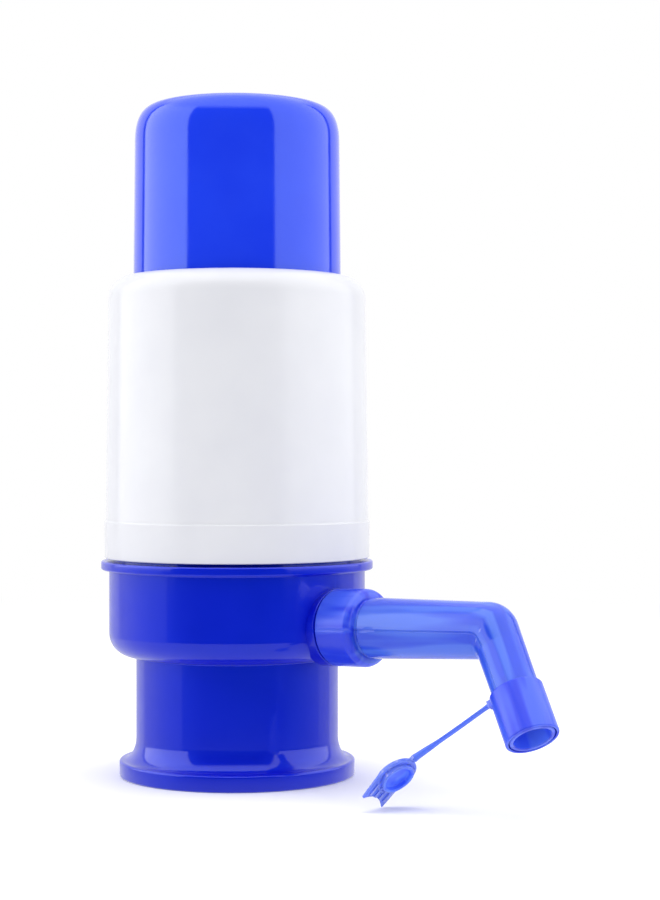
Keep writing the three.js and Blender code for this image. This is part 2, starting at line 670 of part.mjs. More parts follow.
// Blue press knob: a deep cap with a flange that the cover's shoulder keeps in.
function pressKnob() {
  const roofR = KNOB_TOP_RADIUS - KNOB_SHOULDER_WIDTH;
  const cornerZ = KNOB_TOP_Z - KNOB_CROWN - KNOB_SHOULDER_HEIGHT;
  const stopR = KNOB_RADIUS + KNOB_STOP_REACH;
  const stopLow = KNOB_STOP_TOP_Z - KNOB_STOP_THICKNESS;
  const inside = KNOB_RADIUS - KNOB_WALL;
  const insideTop = KNOB_TOP_RADIUS - KNOB_WALL;
  const insideWide = KNOB_SHOULDER_WIDTH - KNOB_WALL;
  const insideTall = KNOB_SHOULDER_HEIGHT - KNOB_WALL;
  const ribInner = CAP_PLATE_RADIUS + SEAT_GAP;
  const ribOuter = ribInner + KNOB_RIB_WALL;
  const ribLow = KNOB_ROOF_Z - KNOB_RIB_HEIGHT;
  const insideCurve = shoulder(insideTop - insideWide, cornerZ, insideWide, insideTall, SHOULDER_STEPS)
    .reverse()
    .filter(([radius]) => radius > ribOuter);
  return revolve([
    [0, KNOB_ROOF_Z],
    [ribInner, KNOB_ROOF_Z],
    [ribInner, ribLow],
    [ribOuter, ribLow],
    [ribOuter, insideCurve[0][1]],
    ...insideCurve,
    [inside, KNOB_BOTTOM_Z],
    [KNOB_RADIUS, KNOB_BOTTOM_Z],
    [KNOB_RADIUS, stopLow],
    [stopR, stopLow],
    [stopR, KNOB_STOP_TOP_Z],
    [KNOB_RADIUS, KNOB_STOP_TOP_Z],
    [KNOB_RADIUS, COVER_TOP_Z],
    ...shoulder(roofR, cornerZ, KNOB_SHOULDER_WIDTH, KNOB_SHOULDER_HEIGHT, SHOULDER_STEPS + 1),
    [roofR / 2, KNOB_TOP_Z - KNOB_CROWN / 4],
    [0, KNOB_TOP_Z],
  ]);
}

// White barrel with a band at its foot and a round shoulder that the knob passes through.
function bodyCover() {
  const bandTop = COVER_Z + COVER_BAND_HEIGHT;
  const shoulderZ = COVER_TOP_Z - SHOULDER_ROUND;
  const shoulderR = COVER_TOP_RADIUS - SHOULDER_ROUND;
  const insideRound = SHOULDER_ROUND - COVER_WALL;
  const underside = COVER_TOP_Z - COVER_WALL;
  return revolve([
    [COVER_BORE, COVER_Z],
    [COVER_BAND_RADIUS - EDGE, COVER_Z],
    [COVER_BAND_RADIUS, COVER_Z + EDGE],
    [COVER_BAND_RADIUS, bandTop - EDGE],
    [COVER_LOW_RADIUS, bandTop],
    ...arc(shoulderR, shoulderZ, SHOULDER_ROUND, 0, 90, SHOULDER_STEPS),
    [COVER_HOLE, COVER_TOP_Z],
    [COVER_HOLE, underside],
    ...arc(shoulderR, shoulderZ, insideRound, 90, 0, SHOULDER_STEPS / 2),
  ]);
}

// The spout's outer or inner surface, as sections from the collar to the mouth.
// The bend's sections fan out from a pivot inside the bend, and the far side is rounded.
function spoutSections(inset, armFrom, legTo) {
  const bend = THREE.MathUtils.degToRad(ELBOW_DEG);
  const armR = ARM_END_RADIUS - inset;
  const legR = LEG_RADIUS - inset;
  const inner = ELBOW_INNER_ROUND + inset;
  const outer = ELBOW_OUTER_ROUND - inset;
  const sin = Math.sin(bend);
  const cos = Math.cos(bend);
  const legStart = (armR + inner - (legR + inner) * cos) / sin;
  const pivotX = ELBOW_REACH - (legR + inner) * sin + legStart * cos;
  const pivot = new THREE.Vector3(pivotX, 0, -(armR + inner));
  const armSpan = 2 * armR + inner;
  const legSpan = 2 * legR + inner;
  const roundUp = armSpan - outer;
  const roundAlong = (legSpan - outer - roundUp * cos) / sin;
  const roundFirst = Math.atan2(roundAlong, armSpan);
  const tangentUp = roundUp + outer * cos;
  const tangentAlong = roundAlong + outer * sin;
  const roundLast = Math.atan2(tangentAlong, tangentUp);
  const spanAt = (angle) => {
    if (angle < roundFirst) return armSpan / Math.cos(angle);
    if (angle > roundLast) return legSpan / Math.cos(bend - angle);
    const across = roundUp * Math.cos(angle) + roundAlong * Math.sin(angle);
    const square = outer ** 2 - roundUp ** 2 - roundAlong ** 2 + across ** 2;
    return across + Math.sqrt(square);
  };
  const section = (middle, up, high, wide) =>
    Array.from({ length: SPOUT_STEPS }, (_, i) => {
      const angle = (i * 2 * Math.PI) / SPOUT_STEPS;
      const point = middle.clone().addScaledVector(up, high * Math.cos(angle));
      point.y += wide * Math.sin(angle);
      return point;
    });
  const armStart = new THREE.Vector3(armFrom, 0, 0);
  const armStartR = ARM_RADIUS - inset;
  const sections = [section(armStart, new THREE.Vector3(0, 0, 1), armStartR, armStartR)];
  for (let i = 0; i <= BEND_STEPS; i++) {
    const angle = (bend * i) / BEND_STEPS;
    const up = new THREE.Vector3(Math.sin(angle), 0, Math.cos(angle));
    const span = spanAt(angle);
    const middle = pivot.clone().addScaledVector(up, (span + inner) / 2);
    const wide = armR + ((legR - armR) * i) / BEND_STEPS;
    sections.push(section(middle, up, (span - inner) / 2, wide));
  }
  const down = new THREE.Vector3(cos, 0, -sin);
  const tip = new THREE.Vector3(ELBOW_REACH, 0, 0).addScaledVector(down, legTo);
  const tipR = LEG_END_RADIUS - inset;
  sections.push(section(tip, new THREE.Vector3(sin, 0, cos), tipR, tipR));
  return sections;
}

// Spout of soft clear plastic: collar, tapered arm, bend and leg, hollow from end to end.
function spout() {
  const roundR = COLLAR_RADIUS - COLLAR_ROUND;
  const roundX = COLLAR_END - COLLAR_ROUND;
  const collar = revolve([
    [0, COLLAR_START],
    [COLLAR_RADIUS - EDGE, COLLAR_START],
    [COLLAR_RADIUS, COLLAR_START + EDGE],
    ...arc(roundR, roundX, COLLAR_ROUND, 0, 90, CORNER_STEPS - 1),
    [0, COLLAR_END],
  ], SPOUT_STEPS);
  collar.rotateY(Math.PI / 2);
  const mouth = LEG_LENGTH + CUT_OVERRUN;
  const boreEnd = NIPPLE_END + SEAT_GAP;
  const shell = solidOf(collar).add(
    solidOf(facingOut(loft(spoutSections(0, COLLAR_END - COLLAR_LENGTH / 2, LEG_LENGTH)))),
  );
  return shell
    .subtract(solidOf(rod(COLLAR_BORE, COLLAR_START - CUT_OVERRUN, boreEnd)))
    .subtract(solidOf(facingOut(loft(spoutSections(SPOUT_WALL, boreEnd - CUT_OVERRUN, mouth)))));
}

// Round seal in the nipple's groove, inside the spout's collar.
function spoutSeal() {
  const size = SEAL_GROOVE_WIDTH / 2 - SEAT_GAP;
  const middle = NIPPLE_RADIUS - SEAL_GROOVE_DEPTH + SEAT_GAP / 2 + size;
  const along = BOSS_END + SEAL_GROOVE_START + SEAL_GROOVE_WIDTH / 2;
  return revolve(sealSection(middle, along, size), SMALL_STEPS).rotateY(Math.PI / 2);
}

// Soft sleeve on the end of the leg, with a lug on the pump's side that holds the strap.
// It is made in the leg's frame, whose origin is at the bend and whose Z points up the leg.
function tetherRing() {
  const top = -RING_TOP;
  const low = top - RING_LENGTH;
  const sleeve = revolve([
    [RING_BORE, top],
    [RING_BORE, low],
    [RING_RADIUS - EDGE, low],
    [RING_RADIUS, low + EDGE],
    [RING_RADIUS, top - EDGE],
    [RING_RADIUS - EDGE, top],
  ], SMALL_STEPS);
  const lugDepth = LUG_REACH + RING_WALL;
  const lug = new THREE.BoxGeometry(lugDepth, LUG_WIDTH, LUG_LENGTH);
  lug.translate(-(RING_RADIUS + LUG_REACH - lugDepth / 2), 0, top + LUG_RISE - LUG_LENGTH / 2);
  const bore = post(RING_BORE, low - CUT_OVERRUN, top + CUT_OVERRUN);
  return solidOf(sleeve).add(solidOf(lug)).subtract(solidOf(bore));
}

// One length of the strap, in a frame whose origin is its own bending point and whose X
// runs back along the strap, so the link lies on the -X side.
function strapLink() {
  const near = -SEAT_GAP / 2;
  const far = SEAT_GAP / 2 - LINK_PITCH;
  const half = STRAP_THICKNESS / 2;
  const tip = half - LINK_CHAMFER;
  const side = new THREE.Shape([
    new THREE.Vector2(near, -tip),
    new THREE.Vector2(near, tip),
    new THREE.Vector2(near - LINK_CHAMFER, half),
    new THREE.Vector2(far + LINK_CHAMFER, half),
    new THREE.Vector2(far, tip),
    new THREE.Vector2(far, -tip),
    new THREE.Vector2(far + LINK_CHAMFER, -half),
    new THREE.Vector2(near - LINK_CHAMFER, -half),
  ]);
  const link = new THREE.ExtrudeGeometry(side, { depth: STRAP_WIDTH, bevelEnabled: false });
  return link.rotateX(Math.PI / 2).translate(0, STRAP_WIDTH / 2, 0);
}

// Dust cap in the same kind of frame: a disc with a hollow plug below it, a short neck that
// meets the strap, and opposite that a pull tab that flares to a hollow end.
function dustCap() {
  const discMiddle = -(SEAT_GAP / 2 + CAP_NECK_LENGTH + CAP_RADIUS);
  const half = CAP_THICKNESS / 2;
  const disc = revolve([
    [0, -half],
    [PLUG_RADIUS - PLUG_WALL, -half],
    [PLUG_RADIUS - PLUG_WALL, -half - PLUG_HEIGHT],
    [PLUG_RADIUS, -half - PLUG_HEIGHT],
    [PLUG_RADIUS, -half],
    [CAP_RADIUS, -half],
    [CAP_RADIUS, half],
    [0, half],
  ], SMALL_STEPS).translate(discMiddle, 0, 0);
  const neckReach = CAP_NECK_LENGTH + CAP_RADIUS / 2;
  const neck = new THREE.BoxGeometry(neckReach, CAP_NECK_WIDTH, CAP_THICKNESS);
  neck.translate(-SEAT_GAP / 2 - neckReach / 2, 0, 0);
  const rootX = discMiddle - Math.sqrt(CAP_RADIUS ** 2 - (TAB_ROOT_WIDTH / 2) ** 2) + EDGE;
  const endX = discMiddle - CAP_RADIUS - TAB_LENGTH;
  const outline = new THREE.Shape();
  outline.moveTo(rootX, -TAB_ROOT_WIDTH / 2);
  outline.lineTo(rootX, TAB_ROOT_WIDTH / 2);
  outline.lineTo(endX, TAB_END_WIDTH / 2);
  outline.quadraticCurveTo(endX + 2 * TAB_HOLLOW_DEPTH, 0, endX, -TAB_END_WIDTH / 2);
  const tab = new THREE.ExtrudeGeometry(outline, {
    depth: CAP_THICKNESS,
    bevelEnabled: false,
    curveSegments: BEND_STEPS,
  });
  tab.translate(0, 0, -half);
  return wasm.Manifold.union([solidOf(disc), solidOf(neck), solidOf(tab)]);
}

// A group that turns about Y at a point, for the next length of the strap or the cap.
function bendAt(parent, x, z, degrees) {
  const group = new THREE.Group();
  group.position.set(x, 0, z);
  group.rotation.y = -THREE.MathUtils.degToRad(degrees);
  parent.add(group);
  return group;
}

const pump = new THREE.Group();
const spring = springPoints();
pump.add(
  piece("base_collar", "blue_gloss", baseCollar()),
  piece("neck_gasket", "silicone", neckGasket()),
  piece("dip_tube_socket", "silicone", dipTubeSocket()),
  piece("valve_deck", "inner_white", valveDeck()),
  piece("deck_seal", "silicone", deckSeal()),
  piece("outlet_valve", "silicone", checkValve(DECK_Z, DECK_TOP_Z)),
  piece("bellows", "bellows_natural", bellows()),
  piece("clamp_ring", "inner_white", clampRing()),
  piece("return_spring", "spring_steel", returnSpring(spring)),
  piece("bellows_cap", "inner_white", bellowsCap()),
  piece("inlet_valve", "silicone", checkValve(CAP_PLATE_Z, CAP_PLATE_Z + CAP_PLATE_THICKNESS)),
  piece("press_knob", "knob_blue", pressKnob()),
  piece("body_cover", "white_shell", bodyCover()),
);

const outlet = outletFrame();
outlet.name = "outlet_frame";
pump.add(outlet);
outlet.add(piece("spout_seal", "silicone", spoutSeal()));

const spoutTurn = new THREE.Group();
spoutTurn.rotation.x = -THREE.MathUtils.degToRad(SPOUT_TURN_DEG);
outlet.add(spoutTurn);
spoutTurn.add(piece("spout", "clear_blue", spout()));

const leg = new THREE.Group();
leg.name = "leg_frame";
leg.position.x = ELBOW_REACH;
leg.rotation.y = THREE.MathUtils.degToRad(ELBOW_DEG) - Math.PI / 2;
spoutTurn.add(leg);

const ringTurn = new THREE.Group();
ringTurn.rotation.z = THREE.MathUtils.degToRad(RING_TURN_DEG);
leg.add(ringTurn);
ringTurn.add(piece("tether_ring", "clear_blue", tetherRing()));

const strapZ = -RING_TOP + LUG_RISE - LUG_LENGTH / 2;
let tip = bendAt(ringTurn, -RING_RADIUS - LUG_REACH, strapZ, STRAP_DROOP_DEG);
for (let i = 1; i <= STRAP_LINKS; i++) {
  tip.name = `strap_frame_${i}`;
  tip.add(piece(`strap_link_${i}`, "clear_blue", strapLink()));
  tip = bendAt(tip, -LINK_PITCH, 0, i < STRAP_LINKS ? STRAP_CURL_DEG : CAP_DROOP_DEG);
}
tip.name = "cap_frame";
tip.add(piece("dust_cap", "clear_blue", dustCap()));

const springGap = leastGap(spring, STEPS_PER_TURN - 1, WIRE_RADIUS);
console.log(`least gap between the spring's turns: ${springGap.toFixed(2)} mm`);

export default pump;
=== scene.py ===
import math

import bmesh
import bpy
from mathutils import Matrix, Vector


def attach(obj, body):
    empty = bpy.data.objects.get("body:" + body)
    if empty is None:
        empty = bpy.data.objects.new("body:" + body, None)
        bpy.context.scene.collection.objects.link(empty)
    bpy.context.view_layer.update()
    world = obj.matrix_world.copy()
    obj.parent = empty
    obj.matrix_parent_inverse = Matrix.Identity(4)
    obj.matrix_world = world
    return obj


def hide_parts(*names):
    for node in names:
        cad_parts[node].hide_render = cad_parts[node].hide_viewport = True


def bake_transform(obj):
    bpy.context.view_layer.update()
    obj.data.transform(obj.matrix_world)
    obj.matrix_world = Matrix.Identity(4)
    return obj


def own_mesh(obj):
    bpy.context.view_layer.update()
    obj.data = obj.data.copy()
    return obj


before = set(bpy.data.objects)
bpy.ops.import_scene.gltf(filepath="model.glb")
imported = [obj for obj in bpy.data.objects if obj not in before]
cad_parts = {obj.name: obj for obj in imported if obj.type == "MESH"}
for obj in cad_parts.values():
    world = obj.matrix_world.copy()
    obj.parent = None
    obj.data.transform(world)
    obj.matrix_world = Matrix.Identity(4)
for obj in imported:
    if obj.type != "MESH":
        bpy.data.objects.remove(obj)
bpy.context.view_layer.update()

# Lengths are in millimetres and angles in degrees, unless a comment says otherwise.
UNIT = 0.001  # metres
FULL_TURN = 360
OVERRUN = 1  # how far a cut goes past what it cuts

# Shading
FLAT_LIMIT = 34  # edges that bend more than this stay sharp
LEVEL_WEIGHT = 50  # how much the size of a face counts in the normals of its corners
BEVEL_LIMIT = 50  # edges that bend more than this are rounded
BEVEL_SEGMENTS = 3

# Steps of turned pieces, in a full turn
STEPS_KNOB = 192
STEPS_ROUND = 160
STEPS_MEDIUM = 96
STEPS_SMALL = 72
STEPS_VENT = 32

# Steps of arcs
STEPS_CORNER = 6
STEPS_FLARE = 16
STEPS_NECK_FILLET = 5
STEPS_DRUM_CORNER = 20
STEPS_COVER_OUTSIDE = 18
STEPS_COVER_INSIDE = 12
STEPS_SHOULDER_OUTSIDE = 48
STEPS_SHOULDER_INSIDE = 32
STEPS_KNOB_ROOF = 12

# Base moulding: foot, neck, drum, flange and spigot
NECK_BORE = 28
NECK_RADIUS = 29.9
NECK_HEIGHT = 35.4
FOOT_RADIUS = 34.8
FOOT_RIM = 4.8
FOOT_LEDGE = 1
FOOT_EDGE = 0.7
FLARE_HEIGHT = 6.4
MOUTH_LEAD = 1.4
DRUM_RADIUS = 37.85
DRUM_WALL = 3.2
DRUM_CORNER = 6.8
DRUM_FLOOR = 2.4
DRUM_CHAMFER = 3.6
FLANGE_LOW = 60.8
FLANGE_TOP = 63.4
FLANGE_RADIUS = 40.2
FLANGE_EDGE = 0.6
SPIGOT_RADIUS = 36.6
SPIGOT_TOP = 71.4
SOFT_EDGE = 0.4
POST_DEPTH = 3.4
POST_WIDTH = 2.4
POST_COUNT = 6
POST_TOP = 59.1
VENT_RADIUS = 1.8
VENT_CIRCLE = 15
VENT_COUNT = 4
RISER_RADIUS = 6.4
WATER_BORE = 4.2
TUBE_NIPPLE_RADIUS = 5.4
TUBE_NIPPLE_LENGTH = 13

# Outlet on the base, along the arm's own axis
ARM_HEIGHT = 44
ARM_RISE = 2.3
BOSS_RADIUS = 11.05
BOSS_END = 39.05
BOSS_EDGE = 0.35
NIPPLE_RADIUS = 9
NIPPLE_WALL = 2
NIPPLE_END = 48.45
GROOVE_START = 43.65
GROOVE_WIDTH = 1.7
GROOVE_DEPTH = 1.1

# Soft seal and sleeve under the drum
GASKET_INNER = 21.5
GASKET_OUTER = 27.7
GASKET_LOW = 31.9
GASKET_TOP = 35.1
SOCKET_INNER = 5.7
SOCKET_OUTER = 7.6
SOCKET_LOW = 16.1

# White cover
COVER_LOW = 64.2
COVER_TOP = 147.2
COVER_WALL = 2
COVER_LOW_RADIUS = 38.9
COVER_TOP_RADIUS = 38.1
BAND_RADIUS = 39.3
BAND_TOP = 75.6
BAND_FOOT_RADIUS = 39.1
BAND_EDGE = 0.15
BAND_LEDGE = 0.7
COVER_ROUND = 6.4
COVER_HOLE = 31.05
COVER_HOLE_EDGE = 0.35

# Press knob
KNOB_RADIUS = 30.7
KNOB_TOP_RADIUS = 30.3
KNOB_TOP = 199.8
KNOB_LOW = 127.2
KNOB_CROWN = 1.9
KNOB_SHOULDER_WIDE = 8.6
KNOB_SHOULDER_TALL = 12
KNOB_BLUNTNESS = 1.4
KNOB_WALL = 1.8
KNOB_ROOF = 2
STOP_RADIUS = 32.8
STOP_LOW = 142.3
STOP_TOP = 144.9
RIB_INNER = 25.3
RIB_OUTER = 26.8
RIB_LOW = 190.5

# Bellows and spring, which shorten when the knob goes down
BELLOWS_LOW = 62.2
BELLOWS_TOP = 190.5
BELLOWS_FOOT_TOP = 63.7
BELLOWS_FOOT_RADIUS = 33
BELLOWS_NECK = 21
BELLOWS_RADIUS = 26
BELLOWS_FOLDS = 9
BELLOWS_COLLAR = 4
BELLOWS_WALL = 0.9
BELLOWS_ROUND = 1.1
SPRING_RADIUS = 13.464
SPRING_LOW = 63
SPRING_TOP = 189.7
SPRING_TURNS = 9
WIRE_RADIUS = 0.8
WIRE_SIDES = 14
WIRE_STEPS = 40  # in a turn

# Spout: collar, arm, bend and leg
COLLAR_START = 39.35
COLLAR_END = 51.35
COLLAR_BORE = 9.35
COLLAR_RADIUS = 11
COLLAR_EDGE = 0.5
COLLAR_ROUND = 2.2
BORE_END = 48.75
ROOT_GROOVE_WIDTH = 1.3
ROOT_GROOVE_DEPTH = 0.6
ROOT_GROOVE_ROUND = 0.45
ARM_RADIUS = 8.6
ARM_END_RADIUS = 7.75
ELBOW_REACH = 93.3
ELBOW_BEND = 58.5
ELBOW_INNER = 0.8
ELBOW_OUTER = 9
LEG_RADIUS = 6.5
LEG_END_RADIUS = 6.2
LEG_LENGTH = 33.3
SPOUT_WALL = 1.1
SPOUT_TURN = 18.8
SPOUT_SIDES = 96
SPOUT_ARM_STEPS = 18
SPOUT_BEND_STEPS = 40
SPOUT_LEG_STEPS = 6
MOUTH_EDGE = 0.25
MOUTH_TONE = 1  # how far the deeper tone of the mouth goes up the leg
PARTING_WIDTH = 0.75
PARTING_DEPTH = 0.2
PARTING_FLOOR_SHARE = 1 / 3  # width of the groove's floor
PARTING_ROOM_SHARE = 1.5  # width kept free of other points

# Tether ring, strap and dust cap
RING_TURN = 7
RING_BORE = 6.5
RING_RADIUS = 7.3
RING_TOP = 18.8
RING_EDGE = 0.35
LUG_REACH = 1.1
LUG_RISE = 0.8
LUG_LENGTH = 1.8
LUG_WIDTH = 2.4
LUG_EDGE = 0.3
STRAP_LINKS = 3
STRAP_PITCH = 8.2
STRAP_WIDTH = 1.7
STRAP_THICKNESS = 0.9
STRAP_ROOT_WIDTH = 2.2
STRAP_ROOT_THICKNESS = 1.3
STRAP_ROOT_LENGTH = 3
STRAP_FOOT_THICKNESS = 2
STRAP_FOOT_LENGTH = 8
STRAP_SIDES = 20
STRAP_STEPS = 12
STRAP_INSET = 0.7  # how far the strap's ends reach into the lug and the cap
STRAP_DROOP = 9
STRAP_CURL = -1.2
CAP_DROOP = 8
CAP_DISC_OFFSET = 7.25
CAP_RADIUS = 6.1
CAP_THICKNESS = 0.9
CAP_EDGE = 0.3
CAP_LIP_WIDTH = 0.8
CAP_LIP_RISE = 0.25
PLUG_RADIUS = 4.85
PLUG_WALL = 1
PLUG_HEIGHT = 1.4
PLUG_LEAD = 0.35
CAP_NECK_WIDTH = 2.2
CAP_NECK_START = 0.15
TAB_ROOT = 9.39
TAB_END = 16.9
TAB_ROOT_WIDTH = 11
TAB_END_WIDTH = 9.8
TAB_HOLLOW = 1.7
TAB_EDGE = 0.28
TAB_STEPS = 24
TAB_BEND = 0.034  # curvature of the far half, per millimetre
GRIP_COUNT = 4
GRIP_PITCH = 2.3
GRIP_WIDTH = 0.7
GRIP_RISE = 0.35
GRIP_END = 15.1
GRIP_OVERLAP = 0.3


# Outlines and meshes

def arc(x, y, radius, start, end, steps, tall=None):
    """Points of an arc, from the start to the end angle, counted from +X."""
    points = []
    for i in range(steps + 1):
        angle = math.radians(start + (end - start) * i / steps)
        points.append((x + radius * math.cos(angle), y + (tall or radius) * math.sin(angle)))
    return points


def rounded(corners, closed=True):
    """An outline whose corners, (x, y) or (x, y, radius), are rounded."""
    points = []
    count = len(corners)
    for i, corner in enumerate(corners):
        here = Vector(corner[:2])
        radius = corner[2] if len(corner) > 2 else 0
        if radius == 0 or (not closed and i in (0, count - 1)):
            points.append(tuple(here))
            continue
        back = (Vector(corners[i - 1][:2]) - here).normalized()
        on = (Vector(corners[(i + 1) % count][:2]) - here).normalized()
        half = back.angle(on) / 2
        middle = here + (back + on).normalized() * (radius / math.sin(half))
        reach = radius / math.tan(half)
        first = here + back * reach - middle
        last = here + on * reach - middle
        sweep = first.angle_signed(last)
        for step in range(STEPS_CORNER + 1):
            swing = Matrix.Rotation(-sweep * step / STEPS_CORNER, 2)
            points.append(tuple(middle + swing @ first))
    return points


def shoulder(radius, height, wide, tall, steps):
    """Points of the knob's shoulder, squarer than an ellipse, from side to top."""
    points = []
    for i in range(steps + 1):
        angle = math.radians(90 * i / steps)
        along = max(math.cos(angle), 0) ** (1 / KNOB_BLUNTNESS)
        up = math.sin(angle) ** (1 / KNOB_BLUNTNESS)
        points.append((radius + wide * along, height + tall * up))
    return points


def joined(first, first_count, second, second_count):
    """Faces between two rings; a ring of one point is a pole."""
    faces = []
    count = max(first_count, second_count)
    for i in range(count):
        j = (i + 1) % count
        face = [first + i % first_count, first + j % first_count]
        face += [second + j % second_count, second + i % second_count]
        faces.append(tuple(dict.fromkeys(face)))
    return faces


def lofted(rings, closed=False):
    """Points and faces of a skin over rings of points, closed into a loop or at both ends."""
    points = []
    starts = []
    for ring in rings:
        starts.append(len(points))
        points.extend(ring)
    pairs = [(i, i + 1) for i in range(len(rings) - 1)]
    if closed:
        pairs.append((len(rings) - 1, 0))
    faces = []
    for a, b in pairs:
        faces += joined(starts[a], len(rings[a]), starts[b], len(rings[b]))
    if not closed:
        for start, ring in ((starts[0], rings[0]), (starts[-1], rings[-1])):
            if len(ring) > 2:
                faces.append(tuple(range(start, start + len(ring))))
    return points, faces


def turned(outline, steps=STEPS_ROUND):
    """Points and faces of an outline of (radius, height) turned about Z."""
    rings = []
    for radius, height in outline:
        if radius == 0:
            rings.append([Vector((0, 0, height))])
            continue
        ring = []
        for i in range(steps):
            angle = math.radians(FULL_TURN * i / steps)
            ring.append(Vector((radius * math.cos(angle), radius * math.sin(angle), height)))
        rings.append(ring)
    return lofted(rings, closed=outline[0][0] > 0)


def prism(outline, low, high):
    """Points and faces of a flat outline with a thickness along Z."""
    rings = [[Vector((x, y, z)) for x, y in outline] for z in (low, high)]
    return lofted(rings)


def block(low, high):
    """Points and faces of a box between two corners."""
    outline = [(low[0], low[1]), (high[0], low[1]), (high[0], high[1]), (low[0], high[1])]
    return prism(outline, low[2], high[2])


def moved(shape, matrix):
    """The same shape, each point taken through a matrix."""
    points, faces = shape
    return [matrix @ point for point in points], faces


def show(thing):
    """Puts an object into the scene."""
    bpy.context.scene.collection.objects.link(thing)


def solid(name, shape):
    """A closed mesh object, faces out, from points in millimetres."""
    points, faces = shape
    mesh = bpy.data.meshes.new(name)
    mesh.from_pydata([point * UNIT for point in points], [], faces)
    thing = bpy.data.objects.new(name, mesh)
    show(thing)
    face_out(thing)
    return thing


def face_out(thing):
    """Turns all faces outward."""
    work = bmesh.new()
    work.from_mesh(thing.data)
    bmesh.ops.recalc_face_normals(work, faces=work.faces)
    work.to_mesh(thing.data)
    work.free()


def settle(thing):
    """Applies the modifiers to the mesh."""
    graph = bpy.context.evaluated_depsgraph_get()
    mesh = bpy.data.meshes.new_from_object(thing.evaluated_get(graph))
    thing.modifiers.clear()
    thing.data = mesh
    mesh.name = thing.name


def combine(thing, operation, *shapes):
    """Adds shapes to a mesh object, or cuts them from it."""
    for shape in shapes:
        tool = solid("tool", shape)
        modifier = thing.modifiers.new("combine", "BOOLEAN")
        modifier.operation = operation
        modifier.solver = "EXACT"
        modifier.object = tool
        settle(thing)
        bpy.data.objects.remove(tool)


def soften(thing, width):
    """Rounds the sharp edges of a mesh object."""
    modifier = thing.modifiers.new("soften", "BEVEL")
    modifier.width = width * UNIT
    modifier.segments = BEVEL_SEGMENTS
    modifier.limit_method = "ANGLE"
    modifier.angle_limit = math.radians(BEVEL_LIMIT)
    settle(thing)


def level_shading(thing):
    """Lets large faces set the shading normals, so that straight walls shade straight."""
    modifier = thing.modifiers.new("level", "WEIGHTED_NORMAL")
    modifier.mode = "FACE_AREA"
    modifier.weight = LEVEL_WEIGHT
    modifier.keep_sharp = True
    settle(thing)


def finish_piece(thing, material, body=None, nodes=(), level=True):
    """Smooth shading, material, body, and hiding the nodes that the piece stands for."""
    thing.data.materials.clear()
    thing.data.materials.append(material)
    thing.data.shade_smooth()
    thing.data.set_sharp_from_angle(angle=math.radians(FLAT_LIMIT))
    if level:
        level_shading(thing)
    if body:
        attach(thing, body)
    if nodes:
        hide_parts(*nodes)


def add_slot(thing, material):
    """Gives a mesh one more material, and returns its index."""
    thing.data.materials.append(material)
    return len(thing.data.materials) - 1


# Materials: texture scales are counts in a metre

DRIFT_SCALE = 45
DRIFT_DETAIL = 3
DRIFT_SHARES = (0.35, 0.65)  # levels of the noise with the deep and the plain colour
# Streaks along the spout are painted light and shade of refraction in the clear plastic
STREAK_SCALE = 260
STREAK_DETAIL = 1
STREAK_SHARES = (0.42, 0.58)
STREAK_STRETCH = 14  # length of a streak over its width
STREAK_SHIFT = -2.5  # moves the streaks round the spout
EDGE_SHARES = (0.54, 0.7)  # pointiness where an edge begins to pale and where it is palest
EDGE_PALE_SHARE = 0.5
SMEAR_SCALE = 160
SMEAR_DETAIL = 4
SMEAR_SHARES = (0.3, 0.7)
GRAIN_SCALE = 420
GRAIN_DETAIL = 2
GRAIN_DEPTH = 0.04
BELLOWS_GLOW_DEPTH = 2  # how far light spreads inside
SILICONE_GLOW_DEPTH = 1
CLEAR_SPREAD = 0.03
CLEAR_GRAIN = 0.2
CLEAR_IOR = 1.46

# Sockets of the mix node for colours
MIX_FIRST = 6
MIX_SECOND = 7
MIX_RESULT = 2


def linear(red, green, blue):
    """A colour of 0 to 255 in sRGB as the linear RGBA that a socket takes."""
    values = []
    for value in (red, green, blue):
        share = value / 255
        low = share / 12.92
        high = ((share + 0.055) / 1.055) ** 2.4
        values.append(low if share <= 0.04045 else high)
    return (*values, 1)


def add_node(tree, kind, values=None):
    """A new node with values for some of its inputs."""
    node = tree.nodes.new(kind)
    for entry, value in (values or {}).items():
        node.inputs[entry].default_value = value
    return node


def link(tree, source, output, target, entry):
    """Joins an output of one node to an input of another."""
    tree.links.new(source.outputs[output], target.inputs[entry])


def add_range(tree, source, output, start, end, low=0, high=1):
    """A value that goes from low to high as the source goes from start to end."""
    values = {"From Min": start, "From Max": end, "To Min": low, "To Max": high}
    node = add_node(tree, "ShaderNodeMapRange", values)
    link(tree, source, output, node, "Value")
    return node


def add_noise(tree, source, output, scale, detail):
    """A noise texture at the place that the source gives."""
    node = add_node(tree, "ShaderNodeTexNoise", {"Scale": scale, "Detail": detail})
    link(tree, source, output, node, "Vector")
    return node


